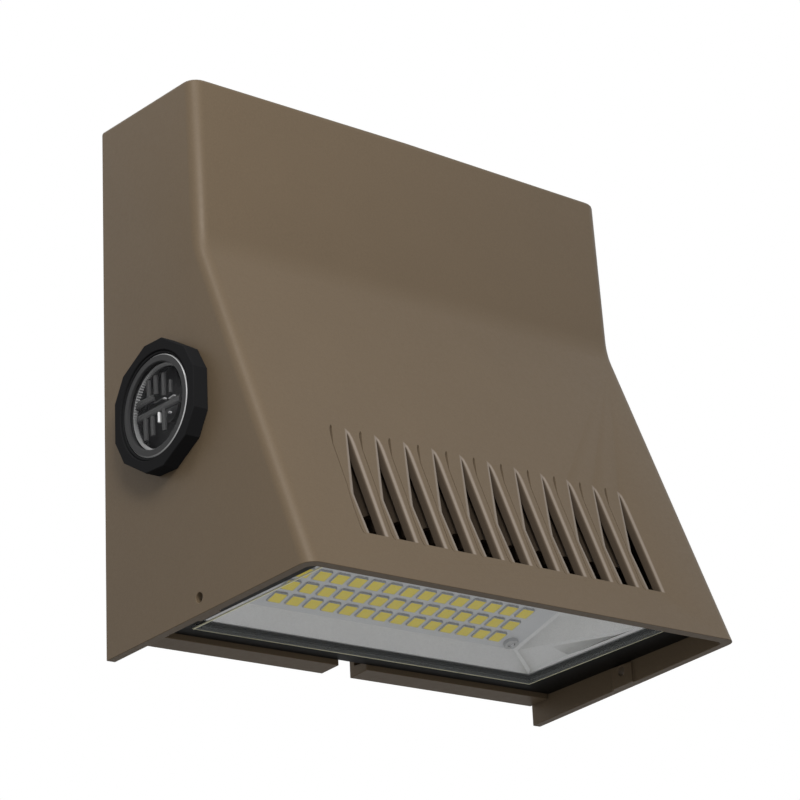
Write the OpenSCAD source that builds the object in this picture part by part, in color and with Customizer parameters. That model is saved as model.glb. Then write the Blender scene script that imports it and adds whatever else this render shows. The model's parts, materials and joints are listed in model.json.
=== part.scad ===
// Full cut-off wall pack light with a vented housing that swings up from a wall plate.
// X runs along the wall, the wall side is at the back (+Y) and Z is up.
// The origin is the middle of the wall plate's hole pattern, on the plate's rear face.

/* [Housing] */
// Width of the housing at the wall
housing_w = 180; // [150:1:240]
// Height of the housing
housing_h = 181.5; // [165:0.5:230]
// Depth of the housing at its top edge
top_depth = 49.5; // [46:0.5:60]
// Depth where the upper face bends into the slope
bend_depth = 51.2; // [48:0.1:62]
// Height of the upper face, from the bend to the top
face_h = 59; // [50:0.5:70]
// Depth of the housing at its bottom front edge
base_depth = 98.9; // [94:0.1:120]
// Height of the bottom front edge above the lower rear corners
lip_height = 6.7; // [5:0.1:8]
// Thickness of the cast walls
wall = 3.2; // [2.6:0.1:3.6]
// Taper of each side wall towards the front, in degrees
side_draft = 1.7; // [0.5:0.1:3]
// Radius of the upright front edges
corner_r = 4.5; // [4:0.1:9]
// Radius of the edges round the top face
top_edge_r = 1.5; // [1:0.1:3.4]
// Radius of the soft bend between upper face and slope
bend_r = 28; // [12:1:40]
// Rise of the top face's middle above its ends
top_crown = 0.8; // [0.2:0.1:1.5]

/* [Vents] */
// Number of vents in the slope
vent_count = 11; // [3:1:12]
// Spacing of the vents
vent_pitch = 11.4; // [11:0.1:13]
// Distance from the slope's lower edge up to the vents
vent_rise = 15; // [12:0.5:30]
// Length of a vent
vent_length = 41.8; // [25:0.1:44]
// Width of a vent over its rims
vent_w = 9; // [6:0.1:9.4]
// Depth of the rounding round a vent's rim
vent_round = 1.2; // [0.4:0.1:1.6]
// Depth of the groove beside a vent
groove_depth = 0.9; // [0.2:0.1:1.4]

/* [Side holes] */
// Radius of the accessory hole in each side wall
side_hole_r = 1.6; // [1.2:0.1:2]
// Distance of the side holes from the wall
side_hole_depth = 47.5; // [44:0.5:55]
// Height of the side holes above the lower rear corners
side_hole_height = 8.4; // [7.2:0.1:8.8]
// Width of the pad behind a side hole
pad_w = 10; // [7:0.5:14]
// Thickness of the pad behind a side hole
pad_t = 1; // [0.5:0.1:1.5]

/* [Wall plate] */
// Thickness of the plate's back
plate_t = 2.5; // [2:0.1:3.2]
// Depth of the plate's rim
plate_depth = 9; // [7.5:0.1:9.5]
// Thickness of the plate's rim
rim_t = 3; // [2:0.1:3.4]
// Height of the plate's bottom edge above the lower rear corners
plate_bottom = 6.8; // [6:0.1:8]
// Rise of the plate's underside from back to front
plate_rise = 0.7; // [0.2:0.1:1]
// Gap between the plate and the housing's side walls
plate_gap = 0.4; // [0.3:0.05:1]
// Distance of the corner holes from the housing's sides
hole_inset_x = 22; // [20:0.5:35]
// Distance of the corner holes from the plate's top and bottom edges
hole_inset_z = 21.2; // [18:0.1:30]
// Radius of the corner holes
hole_r = 2.75; // [2:0.05:3.2]
// Spacing of the junction box slots
slot_spacing = 79.4; // [74:0.1:84]
// Length of a junction box slot
slot_length = 17; // [10:0.5:19]
// Radius of a junction box slot's ends
slot_r = 2.4; // [1.8:0.1:2.8]
// Radius of the supply wire hole in the plate
wire_hole_r = 11; // [9:0.5:14]
// Radius of the grommet's bore
grommet_r = 7; // [4:0.5:8]
// Lip of the grommet beyond the plate's hole
grommet_lip = 2; // [1:0.5:3]
// Thickness of each grommet flange
grommet_flange_t = 1.2; // [0.8:0.1:1.4]
// Width of the notch at the plate's bottom edge
notch_w = 11.7; // [8:0.1:14]
// Height of the notch
notch_h = 7; // [5:0.1:8]
// Thickness of the foam gasket behind the plate
gasket_t = 2; // [1.8:0.1:3]
// Width of the foam gasket
gasket_w = 6; // [4:0.5:8]
// Distance of the foam gasket from the plate's edges
gasket_inset = 4; // [3:0.5:5]

/* [Hinge and lock] */
// Distance of the hinge axis from the housing's rear edge
hinge_depth = 17; // [16:0.1:18.5]
// Radius of the hinge pins
pin_r = 1.5; // [1.2:0.1:1.8]
// Running clearance of the pins in the hooks
pin_fit = 0.05; // [0.02:0.01:0.1]
// Radius of the hook's eye and of the housing's lugs
eye_r = 3.4; // [3:0.1:3.6]
// Gap between the hook's eye and the housing's top
eye_gap = 0.4; // [0.3:0.05:0.8]
// Distance from the housing's sides to the hooks
hook_inset = 30; // [24:1:45]
// Height of the hinge axis above the plate's top edge
hook_rise = 16.5; // [14:0.5:20]
// Width of a hook
hook_w = 6; // [4:0.5:8]
// Width of a housing lug
lug_w = 4.5; // [3:0.5:6]
// Gap between hook and lug
lug_gap = 0.4; // [0.3:0.05:0.8]
// Radius of the lock screw
lock_r = 2.5; // [2:0.1:3]
// Length of the lock screw
lock_length = 7.2; // [6.6:0.1:7.6]
// Travel of the lock screw into the plate's shelf
lock_travel = 3.2; // [2:0.1:3.4]
// Height of the lock lug's underside above the lower rear corners
lock_lug_height = 12.7; // [12.6:0.1:13.2]
// Thickness of the lock lug
lock_lug_t = 5.5; // [4.5:0.1:6]
// Width of the lock lug
lock_lug_w = 12; // [10:0.5:16]
// Thickness of the plate's lock shelf
shelf_t = 3; // [2:0.1:4]
// Width of the plate's lock shelf
shelf_w = 16; // [12:0.5:24]

/* [Lens] */
// Height of the lens frame's underside at the wall
lens_height = 8.7; // [8.4:0.1:9.4]
// Tilt of the lens plane, in degrees
lens_tilt = 2.4; // [1.5:0.1:3]
// Gap between the wall plate's rim and the lens frame
frame_rear_gap = 0.6; // [0.4:0.1:1.5]
// Gap between the lens frame's upper front edge and the inside of the slope
frame_front_gap = 0.56; // [0.4:0.02:1.2]
// Thickness of the lens frame
frame_t = 3.1; // [2.9:0.1:3.6]
// Thickness of the frame's lip under the glass
frame_lip_t = 0.8; // [0.6:0.1:1]
// Distance from the side wall's inner face to the glass that shows
glass_side = 14.25; // [13.5:0.05:20]
// Width of the lens frame behind the glass that shows
frame_rear_w = 7.9; // [7:0.1:9]
// Width of the lens frame in front of the glass that shows
frame_front_w = 5.2; // [4.6:0.1:6]
// Thickness of the glass flange
glass_flange_t = 1.5; // [1.2:0.1:1.5]
// Width of the glass flange
glass_flange_w = 2; // [1.5:0.1:2.2]
// How far the glass stands below the frame
glass_proud = 0.9; // [0.3:0.1:1.2]
// Gap between glass and frame
glass_gap = 0.2; // [0.1:0.05:0.3]

/* [LED engine] */
// Distance from the rear of the glass to the board that shows
board_rear_gap = 6.1; // [5.5:0.1:8]
// Height of the board's rear edge
board_height = 18; // [17.5:0.1:20]
// Tilt of the board, in degrees
board_tilt = 17.5; // [12:0.5:19]
// Distance from the glass's sides in to the board that shows
board_side = 12; // [11:0.5:18]
// Depth of the board that shows, along its tilt
board_d = 26.8; // [25:0.1:28]
// Hidden edge of the board outside the reflector
board_edge = 1.6; // [1:0.1:2]
// Thickness of the board
board_t = 1.6; // [1:0.1:2]
// Thickness of the thermal pad
pad_sheet_t = 0.5; // [0.3:0.1:1]
// Distance from the board's sides to the middle of the first LED
led_side = 12; // [8:0.5:16]
// Number of LED rows
led_rows = 3; // [1:1:3]
// Spacing of the LEDs across the board
led_pitch_x = 7.04; // [5.6:0.02:9]
// Spacing of the LEDs down the board
led_pitch_y = 7.4; // [6:0.1:7.6]
// Width and length of an LED
led_size = 5; // [3:0.1:5.4]
// Thickness of an LED
led_t = 0.7; // [0.4:0.1:1]
// Thickness of the reflector sheet
reflector_t = 0.6; // [0.4:0.1:0.8]
// Inset of the reflector's mouth from the glass's sides and rear
reflector_inset = 1.4; // [1.2:0.1:2]
// Inset of the reflector's mouth from the glass's front
reflector_front_inset = 2; // [1.8:0.1:3]
// Wall of the heat sink's chamber
sink_wall = 3; // [2:0.1:4]
// Thickness of the heat sink over the board
sink_top_t = 4; // [3:0.5:6]
// Thickness of the heat sink's flange
sink_flange_t = 2.5; // [2:0.1:3]
// Gap between the outer fins and the seat of the lead's gland
fin_side_gap = 3.8; // [2:0.1:10]
// Thickness of a fin
fin_t = 2; // [1.5:0.1:3]
// Height of the fins above the lower rear corners
fin_top = 56; // [48:1:60]

/* [Driver] */
// Length of the driver case
driver_w = 100; // [80:1:104]
// Height of the driver case
driver_h = 34; // [28:1:36]
// Depth of the driver case
driver_d = 21; // [16:0.5:23]
// Distance from the housing's top down to the driver's middle
driver_drop = 52.5; // [51.5:0.5:55]
// Distance from the wall to the front of the driver
driver_front = 44; // [43:0.1:44.5]
// Thickness of the driver's lid
driver_lid_t = 1.5; // [1:0.1:2]
// Thickness of the driver's ears
driver_ear_t = 2.5; // [2:0.1:3]
// Length of the driver's ears
driver_ear_w = 11; // [10:0.5:12]

/* [Photocell] */
// Distance from the wall to the photocell's axis
cell_depth = 33.7; // [32:0.1:36]
// Height of the photocell's axis above the lower rear corners
cell_height = 72.4; // [70:0.1:76]
// Radius of the nut's corners
nut_r = 21.4; // [19:0.1:23]
// Thickness of the nut
nut_t = 5.5; // [4:0.1:7]
// Half angle of the cut at each nut corner, in degrees
nut_cut = 12; // [6:1:14]
// Radius of the threaded neck
neck_r = 17.4; // [16:0.1:17.6]
// Radius of the window
cell_lens_r = 16.4; // [15:0.1:16.5]
// Thickness of the window
cell_lens_t = 2; // [1.5:0.1:2.4]
// Radius of the flange inside the side wall
cell_flange_r = 20.5; // [19.5:0.1:21]
// Thickness of that flange
cell_flange_t = 2.5; // [2:0.1:3]
// Thickness of the rubber washer under the flange
cell_gasket_t = 1.5; // [1:0.1:2]
// Radius of the photocell's case
cell_case_r = 14; // [12:0.5:15]
// Length of the photocell's case inside the flange
cell_case_l = 15; // [10:0.5:17]

/* [Hidden] */

$fn = 48;
// Overrun of every cut past the face it opens
over = 1;
// Clearance of screws in their holes and of loose pieces in their seats
fit = 0.1;

// Slope and upper face
bend_height = housing_h - face_h;
slope_angle = atan((base_depth - bend_depth) / (bend_height - lip_height));
face_angle = atan((bend_depth - top_depth) / face_h);
slope_length = norm([base_depth - bend_depth, bend_height - lip_height]);
slope_wall = wall / cos(slope_angle);
face_wall = wall / cos(face_angle);
bend_turn = slope_angle - face_angle;
bend_reach = bend_r * tan(bend_turn / 2);
bend_steps = 6;
corner_steps = 6;
top_steps = 4;

// Places along the housing, from the wall and from the lower rear corners. The lens frame's front is
// where its upper edge comes to the slope
frame_front = (bend_depth + (bend_height - lens_height - frame_t) * tan(slope_angle) - slope_wall - frame_front_gap)
    / (1 + tan(lens_tilt) * tan(slope_angle));
housing_half = housing_w / 2;
hinge_height = housing_h - top_crown - wall - eye_gap - eye_r;
plate_top = hinge_height - hook_rise;
mount_height = (plate_bottom + plate_top) / 2;
hook_x = housing_half - hook_inset;
hole_x = housing_half - hole_inset_x;
hole_rise = (plate_top - plate_bottom) / 2 - hole_inset_z;
frame_rear = plate_depth + frame_rear_gap;
glass_rear = frame_rear + frame_rear_w;
glass_front = frame_front - frame_front_w;
glass_w = 2 * (half_at(glass_front, wall) - glass_side);
reflector_rear = glass_rear + reflector_inset;
reflector_front = glass_front - reflector_front_inset;
reflector_w = glass_w - 2 * reflector_inset;
board_rear = glass_rear + board_rear_gap;
board_w = glass_w - 2 * board_side;
led_cols = floor((board_w - 2 * led_side) / led_pitch_x) + 1;
driver_height = housing_h - driver_drop;

// Outer depth of the slope and of the upper face at a height
function slope_depth(z) = bend_depth + (bend_height - z) * tan(slope_angle);
function face_depth(z) = bend_depth - (z - bend_height) * tan(face_angle);
// Half width of the housing at a depth, moved in by a wall
function half_at(d, inset = 0) = housing_half - d * tan(side_draft) - inset;
function lens_z(d) = lens_height + d * tan(lens_tilt);
function board_z(d) = board_height + (d - board_rear) * tan(board_tilt);

// Points [depth, height] of the bend, offset inwards by a wall, from the slope up to the face
bend_centre = [bend_depth + bend_reach * sin(slope_angle) + bend_r * cos(slope_angle),
               bend_height - bend_reach * cos(slope_angle) + bend_r * sin(slope_angle)];
function bend_points(inset) =
    [for (i = [0:bend_steps]) let (a = slope_angle - bend_turn * i / bend_steps)
        [bend_centre[0] - (bend_r + inset) * cos(a), bend_centre[1] - (bend_r + inset) * sin(a)]];

// One level section of the housing, anticlockwise from above, as [x, y, z] points.
// depth is the front face's depth, rear the depth of the open back, crown the rise in the middle
function level(z, depth, inset, r, rear, crown = 0) =
    let (cx = half_at(depth - r, inset) - r, cy = depth - r, drop = crown / housing_half)
    [[half_at(rear, inset), -rear, z - drop * half_at(rear, inset)],
     [0, -rear, z],
     [-half_at(rear, inset), -rear, z - drop * half_at(rear, inset)],
     for (i = [0:corner_steps]) let (a = 180 + 90 * i / corner_steps, x = -cx + r * cos(a))
        [x, -cy + r * sin(a), z + drop * x],
     [0, -depth, z],
     for (i = [0:corner_steps]) let (a = 270 + 90 * i / corner_steps, x = cx + r * cos(a))
        [x, -cy + r * sin(a), z - drop * x]];

// Solid through a stack of rings. closed joins the last ring to the first, and a hub is the number
// of the point from which the end caps are split into triangles
module loft(rings, closed = false, hub = -1) {
    n = len(rings[0]);
    m = len(rings);
    last = (m - 1) * n;
    sides = [for (k = [0:(closed ? m - 1 : m - 2)], i = [0:n - 1])
        let (a = k * n + i, b = ((k + 1) % m) * n + i, j = (i + 1) % n,
             c = ((k + 1) % m) * n + j, d = k * n + j)
        each [[a, b, c], [a, c, d]]];
    fans = [for (i = [0:n - 1]) let (j = (i + 1) % n) if (i != hub && j != hub)
        each [[hub, i, j], [last + hub, last + j, last + i]]];
    flats = [[for (i = [0:n - 1]) i], [for (i = [n - 1:-1:0]) last + i]];
    polyhedron([for (ring = rings, p = ring) p], concat(sides, closed ? [] : hub < 0 ? flats : fans));
}

// Profile of [depth, height] points drawn across the width
module across(points, w, x = 0) {
    translate([x - w / 2, 0, 0]) rotate([90, 0, 90]) linear_extrude(w)
        polygon([for (p = points) [-p[0], p[1]]]);
}

// Box between two [x, depth, height] corners
module block(low, high) {
    translate([low[0], -high[1], low[2]])
        cube([high[0] - low[0], high[1] - low[1], high[2] - low[2]]);
}

// Cylinder that points to the front from a rear depth to a front depth
module rod(x, z, r, rear, front) {
    translate([x, -rear, z]) rotate([90, 0, 0]) cylinder(r = r, h = front - rear);
}

// Frames in which pieces are drawn: y runs to the wall, so depth is -y
module from_mount() {
    translate([0, 0, -mount_height]) children();
}
module on_lens_plane() {
    translate([0, 0, lens_height]) rotate([-lens_tilt, 0, 0]) children();
}
module on_board_plane() {
    translate([0, -board_rear, board_height]) rotate([-board_tilt, 0, 0]) children();
}
module on_slope() {
    translate([0, -bend_depth, bend_height]) rotate([90 - slope_angle, 0, 0]) children();
}
module on_left_wall() {
    translate([-half_at(cell_depth), -cell_depth, cell_height])
        rotate([0, 0, side_draft]) rotate([0, -90, 0]) children();
}

// Housing shell
module outer_form() {
    r = top_edge_r;
    loft([level(0, slope_depth(0), 0, corner_r, 0),
          for (p = bend_points(0)) level(p[1], p[0], 0, corner_r, 0),
          for (i = [0:top_steps]) let (a = 90 * i / top_steps, z = housing_h - r + r * sin(a))
              level(z, face_depth(housing_h - r) - r + r * cos(a), r - r * cos(a), corner_r, 0, top_crown)],
         hub = 1);
}

module cavity() {
    r = corner_r - wall / 2;
    top = housing_h - top_crown - wall;
    loft([level(-over, slope_depth(-over) - slope_wall, wall, r, -over),
          for (p = bend_points(wall)) level(p[1], p[0], wall, r, -over),
          level(top, face_depth(top) - face_wall, wall, r, -over)], hub = 1);
}

// The sloped lower edges of the side walls
module below_edges() {
    reach = base_depth + 2 * wall;
    across([[-over, -over * housing_w], [-over, -over * lip_height / base_depth],
            [reach, lip_height * reach / base_depth], [reach, -over * housing_w]], housing_w + over);
}

// Vents. Points are shares of a vent's width and length, from its top middle downwards: the outer
// edge of the rim, and the opening inside it
rim_shares = [[0.42, 0.035], [0.32, 0.01], [0.25, 0], [-0.52, 0.63], [-0.445, 1], [0.5, 1], [0.5, 0.145],
              [0.475, 0.085]];
mouth_shares = [[0.365, 0.07], [0.36, 0.058], [0.35, 0.055], [-0.31, 0.64], [-0.22, 1], [0.365, 1],
                [0.37, 0.155], [0.37, 0.105]];
rim_hub = 3;
rim_steps = 4;
// Groove to the left of a vent: places across and along it, half its width and its depth
groove_shares = [[-0.33, 0, 0.01, 0.2], [-0.35, 0.014, 0.042, 1], [-0.39, 0.036, 0.05, 1],
                 [-0.43, 0.065, 0.05, 1], [-0.46, 0.1, 0.044, 0.9], [-0.5, 0.14, 0.03, 0.6],
                 [-0.54, 0.19, 0.018, 0.3], [-0.55, 0.57, 0.018, 0.3], [-0.595, 0.68, 0.018, 0.3],
                 [-0.61, 0.78, 0.02, 0.35], [-0.61, 0.955, 0.02, 0.35], [-0.57, 1, 0.018, 0.3],
                 [-0.51, 1.015, 0.01, 0.2]];
groove_lip = 0.05;
vent_top = slope_length - vent_rise - vent_length;

function vent_point(s) = [s[0] * vent_w, -vent_top - s[1] * vent_length];
function ring_at(points, z) = [for (p = points) [p[0], p[1], z]];

module vent_cut() {
    rim = [for (s = rim_shares) vent_point(s)];
    mouth = [for (s = mouth_shares) vent_point(s)];
    loft([ring_at(mouth, -wall - over),
          for (i = [0:rim_steps]) let (a = 90 * i / rim_steps)
              ring_at(mouth + (rim - mouth) * (1 - cos(a)), -vent_round * (1 - sin(a))),
          ring_at(rim, over)], hub = rim_hub);
    loft([for (s = groove_shares) let (p = vent_point(s), w = s[2] * vent_w, d = s[3] * groove_depth)
        [[p[0] - w, p[1], over], [p[0] - w, p[1], -groove_lip], [p[0], p[1], -groove_lip - d],
         [p[0] + w, p[1], -groove_lip], [p[0] + w, p[1], over]]]);
}

module vents() {
    for (i = [0:vent_count - 1])
        translate([(i - (vent_count - 1) / 2) * vent_pitch, 0, 0]) vent_cut();
}

// Pads behind the side holes, against the drafted walls
module side_pad() {
    rear = side_hole_depth - pad_w / 2;
    front = side_hole_depth + pad_w / 2;
    translate([0, 0, -over]) linear_extrude(lens_z(rear) + over - fit)
        polygon([[half_at(rear, wall / 2), -rear], [half_at(rear, wall + pad_t), -rear],
                 [half_at(front, wall + pad_t), -front], [half_at(front, wall / 2), -front]]);
}

// Lugs that hold the hinge pins under the top
lug_x = hook_w / 2 + lug_gap + lug_w / 2;
pin_reach = lug_x + lug_w / 2;
module hinge_rods(r) {
    for (s = [-1, 1])
        translate([s * hook_x - pin_reach, -hinge_depth, hinge_height]) rotate([0, 90, 0])
            cylinder(r = r, h = 2 * pin_reach);
}
module hinge_lug(x) {
    translate([x - lug_w / 2, -hinge_depth, hinge_height]) rotate([0, 90, 0]) cylinder(r = eye_r, h = lug_w);
    block([x - lug_w / 2, hinge_depth - eye_r, hinge_height],
          [x + lug_w / 2, hinge_depth + eye_r, housing_h - wall / 2 - top_crown]);
}

// Bosses for driver and heat sink
boss_r = 4;
screw_r = 1.9;
screw_head_r = 3.5;
screw_head_t = 2.4;
screw_grip = 7;
screw_end_gap = 0.5;
driver_grip = face_depth(driver_height) - wall / 2 - driver_front;
driver_boss_x = driver_w / 2 + driver_ear_w / 2;
ear_x = (glass_w / 2 + sink_wall + half_at(frame_front, wall)) / 2 + fit;
ear_z = fin_top / 2;
ear_t = 3;
ear_depth = (frame_rear + frame_front) / 2 + ear_t;

module housing_bosses() {
    intersection() {
        outer_form();
        union() {
            for (s = [-1, 1]) {
                rod(s * driver_boss_x, driver_height, boss_r, driver_front, base_depth);
                rod(s * ear_x, ear_z, boss_r, ear_depth, base_depth);
            }
            for (s = [0, 1]) mirror([s, 0, 0])
                block([ear_x, ear_depth, ear_z - plate_t / 2], [housing_half, base_depth, ear_z + plate_t / 2]);
        }
    }
}

module front_housing() {
    color("#6b5f51") from_mount() difference() {
        union() {
            difference() {
                outer_form();
                cavity();
            }
            housing_bosses();
            for (s = [0, 1]) mirror([s, 0, 0]) side_pad();
            for (s = [-1, 1], e = [-1, 1]) hinge_lug(s * hook_x + e * lug_x);
        }
        below_edges();
        on_slope() vents();
        translate([-housing_w, -side_hole_depth, side_hole_height]) rotate([0, 90, 0])
            cylinder(r = side_hole_r, h = 2 * housing_w);
        on_left_wall() translate([0, 0, -wall - over]) cylinder(r = neck_r + fit, h = wall + 2 * over);
        hinge_rods(pin_r);
        for (s = [-1, 1]) {
            rod(s * driver_boss_x, driver_height, screw_r + fit, driver_front - over, driver_front + driver_grip);
            rod(s * ear_x, ear_z, screw_r + fit, ear_depth - over, ear_depth + screw_grip);
        }
    }
}

module hinge_pins() {
    color("silver") from_mount() hinge_rods(pin_r);
}

// Wall plate
plate_half = half_at(plate_depth, wall) - plate_gap;
slot_run = slot_length / 2 - slot_r;
lock_depth = plate_depth - lock_r - fit;
lock_bottom = lock_lug_height + fit * 2;
shelf_bottom = lock_bottom + lock_length + eye_gap;
shelf_reach = 4;
shelf_depth = lock_depth + shelf_reach;

module hook(x) {
    arm = [[hinge_depth - eye_r + fit, hinge_height], [hinge_depth + eye_r - fit, hinge_height],
           [hinge_depth + eye_r - fit, plate_top], [plate_depth, plate_top - rim_t * 4],
           [plate_t - over, plate_top - rim_t * 4], [plate_t - over, plate_top - fit],
           [plate_depth, plate_top - fit], [hinge_depth - eye_r + fit, plate_top + rim_t]];
    translate([x - hook_w / 2, -hinge_depth, hinge_height]) rotate([0, 90, 0]) cylinder(r = eye_r, h = hook_w);
    across(arm, hook_w, x);
}

module plate_pan() {
    sole = [[0, plate_bottom], [plate_depth, plate_bottom + plate_rise], [plate_depth, plate_top], [0, plate_top]];
    difference() {
        across(sole, 2 * plate_half);
        block([-plate_half + rim_t, plate_t, plate_bottom + plate_rise + rim_t],
              [plate_half - rim_t, plate_depth + over, plate_top - rim_t]);
    }
}

earth_x = -30;
earth_rise = 38;
earth_z = mount_height + earth_rise;
earth_boss_r = 5;
earth_r = 2;
module wall_plate() {
    color("#5d5245") from_mount() difference() {
        union() {
            plate_pan();
            for (s = [-1, 1]) hook(s * hook_x);
            block([-shelf_w / 2, plate_t - over, shelf_bottom], [shelf_w / 2, shelf_depth, shelf_bottom + shelf_t]);
            rod(earth_x, earth_z, earth_boss_r, plate_t - over, plate_t + rim_t);
        }
        hinge_rods(pin_r + pin_fit);
        block([-notch_w / 2, -over, 0], [notch_w / 2, plate_depth + over, plate_bottom + notch_h]);
        translate([0, -lock_depth, shelf_bottom - over])
            cylinder(r = lock_r + fit * 3, h = shelf_t + 2 * over);
        rod(0, mount_height, wire_hole_r, -over, plate_depth + over);
        for (x = [-1, 1], z = [-1, 1])
            rod(x * hole_x, mount_height + z * hole_rise, hole_r, -over, plate_depth + over);
        for (s = [-1, 1], e = [-1, 1])
            rod(s * slot_spacing / 2 + e * slot_run, mount_height, slot_r, -over, plate_depth + over);
        for (s = [-1, 1])
            block([s * slot_spacing / 2 - slot_run, -over, mount_height - slot_r],
                  [s * slot_spacing / 2 + slot_run, plate_depth + over, mount_height + slot_r]);
        rod(earth_x, earth_z, earth_r + fit, -over, plate_depth + over);
    }
}

module wall_gasket() {
    low = plate_bottom + notch_h + gasket_inset;
    high = plate_top - gasket_inset;
    side = plate_half - gasket_inset;
    color("#2b2b2b") from_mount() difference() {
        block([-side, -gasket_t, low], [side, 0, high]);
        block([-side + gasket_w, -gasket_t - over, low + gasket_w],
              [side - gasket_w, over, high - gasket_w]);
    }
}

module wire_grommet() {
    outer = wire_hole_r + grommet_lip;
    color("#222222") from_mount() translate([0, grommet_flange_t, mount_height]) rotate([90, 0, 0])
        rotate_extrude() polygon([
            [grommet_r, 0], [outer, 0], [outer, grommet_flange_t], [wire_hole_r, grommet_flange_t],
            [wire_hole_r, grommet_flange_t + plate_t], [outer, grommet_flange_t + plate_t],
            [outer, 2 * grommet_flange_t + plate_t], [grommet_r, 2 * grommet_flange_t + plate_t]]);
}

module machine_screw(shank_r, shank_l, head_r, head_t, socket_r) {
    difference() {
        union() {
            cylinder(r = head_r, h = head_t);
            translate([0, 0, -shank_l]) cylinder(r = shank_r, h = shank_l + fit);
        }
        translate([0, 0, head_t / 2]) cylinder(r = socket_r, h = head_t, $fn = 6);
    }
}

module ground_screw() {
    color("#3f7d3c") from_mount() translate([earth_x, -plate_t - rim_t, earth_z]) rotate([90, 0, 0])
        machine_screw(earth_r, plate_t + rim_t, earth_r * 2, screw_head_t, earth_r);
}

// Heat sink, board and reflector
sink_bottom = frame_t;
mouth_z = frame_lip_t + glass_flange_t + fit;
chamber_gap = 0.6;
chamber_t = reflector_t + chamber_gap;
board_front = board_rear + board_d * cos(board_tilt);

// Level outset of a sheet's outer face for its thickness, [at the sides, at the rear, at the front]
mouth_rise = board_height - lens_z(board_rear) - mouth_z;
front_rise = board_z(board_front) - lens_z(reflector_front) - mouth_z;
function outset(t) = [t * norm([reflector_w - board_w, mouth_rise + front_rise]) / (mouth_rise + front_rise),
                      t * norm([board_rear - reflector_rear, mouth_rise]) / mouth_rise,
                      t * norm([reflector_front - board_front, front_rise]) / front_rise];
// The chamber's four corners, from the mouth (k = 0) to the board (k = 1), grown by a sheet's thickness
function mouth_ring(e) =
    let (x = reflector_w / 2 + e[0], a = reflector_rear - e[1], b = reflector_front + e[2])
    [[x, -a, lens_z(a) + mouth_z], [-x, -a, lens_z(a) + mouth_z],
     [-x, -b, lens_z(b) + mouth_z], [x, -b, lens_z(b) + mouth_z]];
function board_ring(e) =
    let (x = board_w / 2 + e[0], a = board_rear - e[1], b = board_front + e[2])
    [[x, -a, board_z(a)], [-x, -a, board_z(a)], [-x, -b, board_z(b)], [x, -b, board_z(b)]];
function chamber_ring(t, k) = let (e = outset(t)) mouth_ring(e) * (1 - k) + board_ring(e) * k;

module reflector() {
    color("#c9cbcc") from_mount()
        loft([chamber_ring(reflector_t, 0), chamber_ring(reflector_t, 1), chamber_ring(0, 1), chamber_ring(0, 0)],
             closed = true);
}

mouth_lead_share = 0.2;
board_stack = board_t + pad_sheet_t;
sink_half = reflector_w / 2 + outset(chamber_t)[0] + sink_wall;
sink_rear = reflector_rear - outset(chamber_t)[1] - sink_wall;
sink_lift = (board_stack + sink_top_t) / cos(board_tilt);

module sink_body() {
    nose = reflector_front + outset(chamber_t)[2];
    brow = board_front + outset(chamber_t)[2];
    across([[sink_rear, lens_z(sink_rear) + sink_bottom + sink_flange_t / 2],
            [sink_rear, board_z(sink_rear) + sink_lift],
            [brow, board_z(brow) + sink_lift],
            [nose, lens_z(nose) + sink_bottom + sink_flange_t],
            [nose, lens_z(nose) + sink_bottom + sink_flange_t / 2]], 2 * sink_half);
    on_lens_plane() translate([0, 0, sink_bottom]) linear_extrude(sink_flange_t)
        frame_plan(fit, sink_flange_t * tan(slope_angle) + fit);
}

// Outline of lens frame and flange, with clipped front corners
corner_clip = (corner_r - wall / 2) / 2 + fit * 3;
module frame_plan(inset, front_inset) {
    a = frame_rear + inset;
    b = frame_front - front_inset;
    w = wall + plate_gap + inset;
    polygon([[half_at(a, w), -a], [-half_at(a, w), -a],
             [-half_at(b, w), -b + corner_clip], [-half_at(b, w) + corner_clip, -b],
             [half_at(b, w) - corner_clip, -b], [half_at(b, w), -b + corner_clip]]);
}

gland_r = 5;
gland_hole_r = 2.6;
gland_t = 6;
gland_seat_h = 2;
gland_seat_w = 1;
gland_x = board_w / 2 + board_edge + gland_r / 2;
gland_depth = board_rear + gland_r + gland_hole_r;
gland_base = board_z(gland_depth) + sink_lift + gland_seat_h;

fin_rear = board_rear;
fin_gap = 2.5;
fin_count = floor(2 * (gland_x - gland_r - gland_seat_w - fin_side_gap) / vent_pitch) + 1;
module sink_fins() {
    base = board_z(fin_rear);
    front_top = slope_depth(fin_top) - slope_wall - fin_gap;
    low = board_z(board_front) + sink_top_t;
    front_low = slope_depth(low) - slope_wall - fin_gap;
    for (i = [0:fin_count - 1])
        across([[fin_rear, base + board_stack + over], [fin_rear, fin_top], [front_top, fin_top],
                [front_low, low], [board_front, board_z(board_front) + board_stack + over]],
               fin_t, (i - (fin_count - 1) / 2) * vent_pitch);
}

frame_screw_x = (glass_w / 2 + glass_flange_w + half_at(frame_front, wall)) / 2;
frame_screw_r = 1.2;
frame_screw_head_r = 2.4;
frame_screw_head_t = 1.6;
frame_screw_grip = 2;
frame_screw_depths = [for (s = [0.2, 0.8]) frame_rear + s * (frame_front - frame_rear)];
board_screw_r = 1.4;
board_screw_head_r = 2.6;
board_screw_head_t = 1.4;
board_screw_inset_x = 4.4;
board_screw_inset_y = 3.9;

// At the board's right rear and left front corners
module board_screw_places() {
    translate([board_w / 2 - board_screw_inset_x, -board_screw_inset_y, 0]) children();
    translate([-board_w / 2 + board_screw_inset_x, -board_d + board_screw_inset_y, 0]) children();
}

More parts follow.
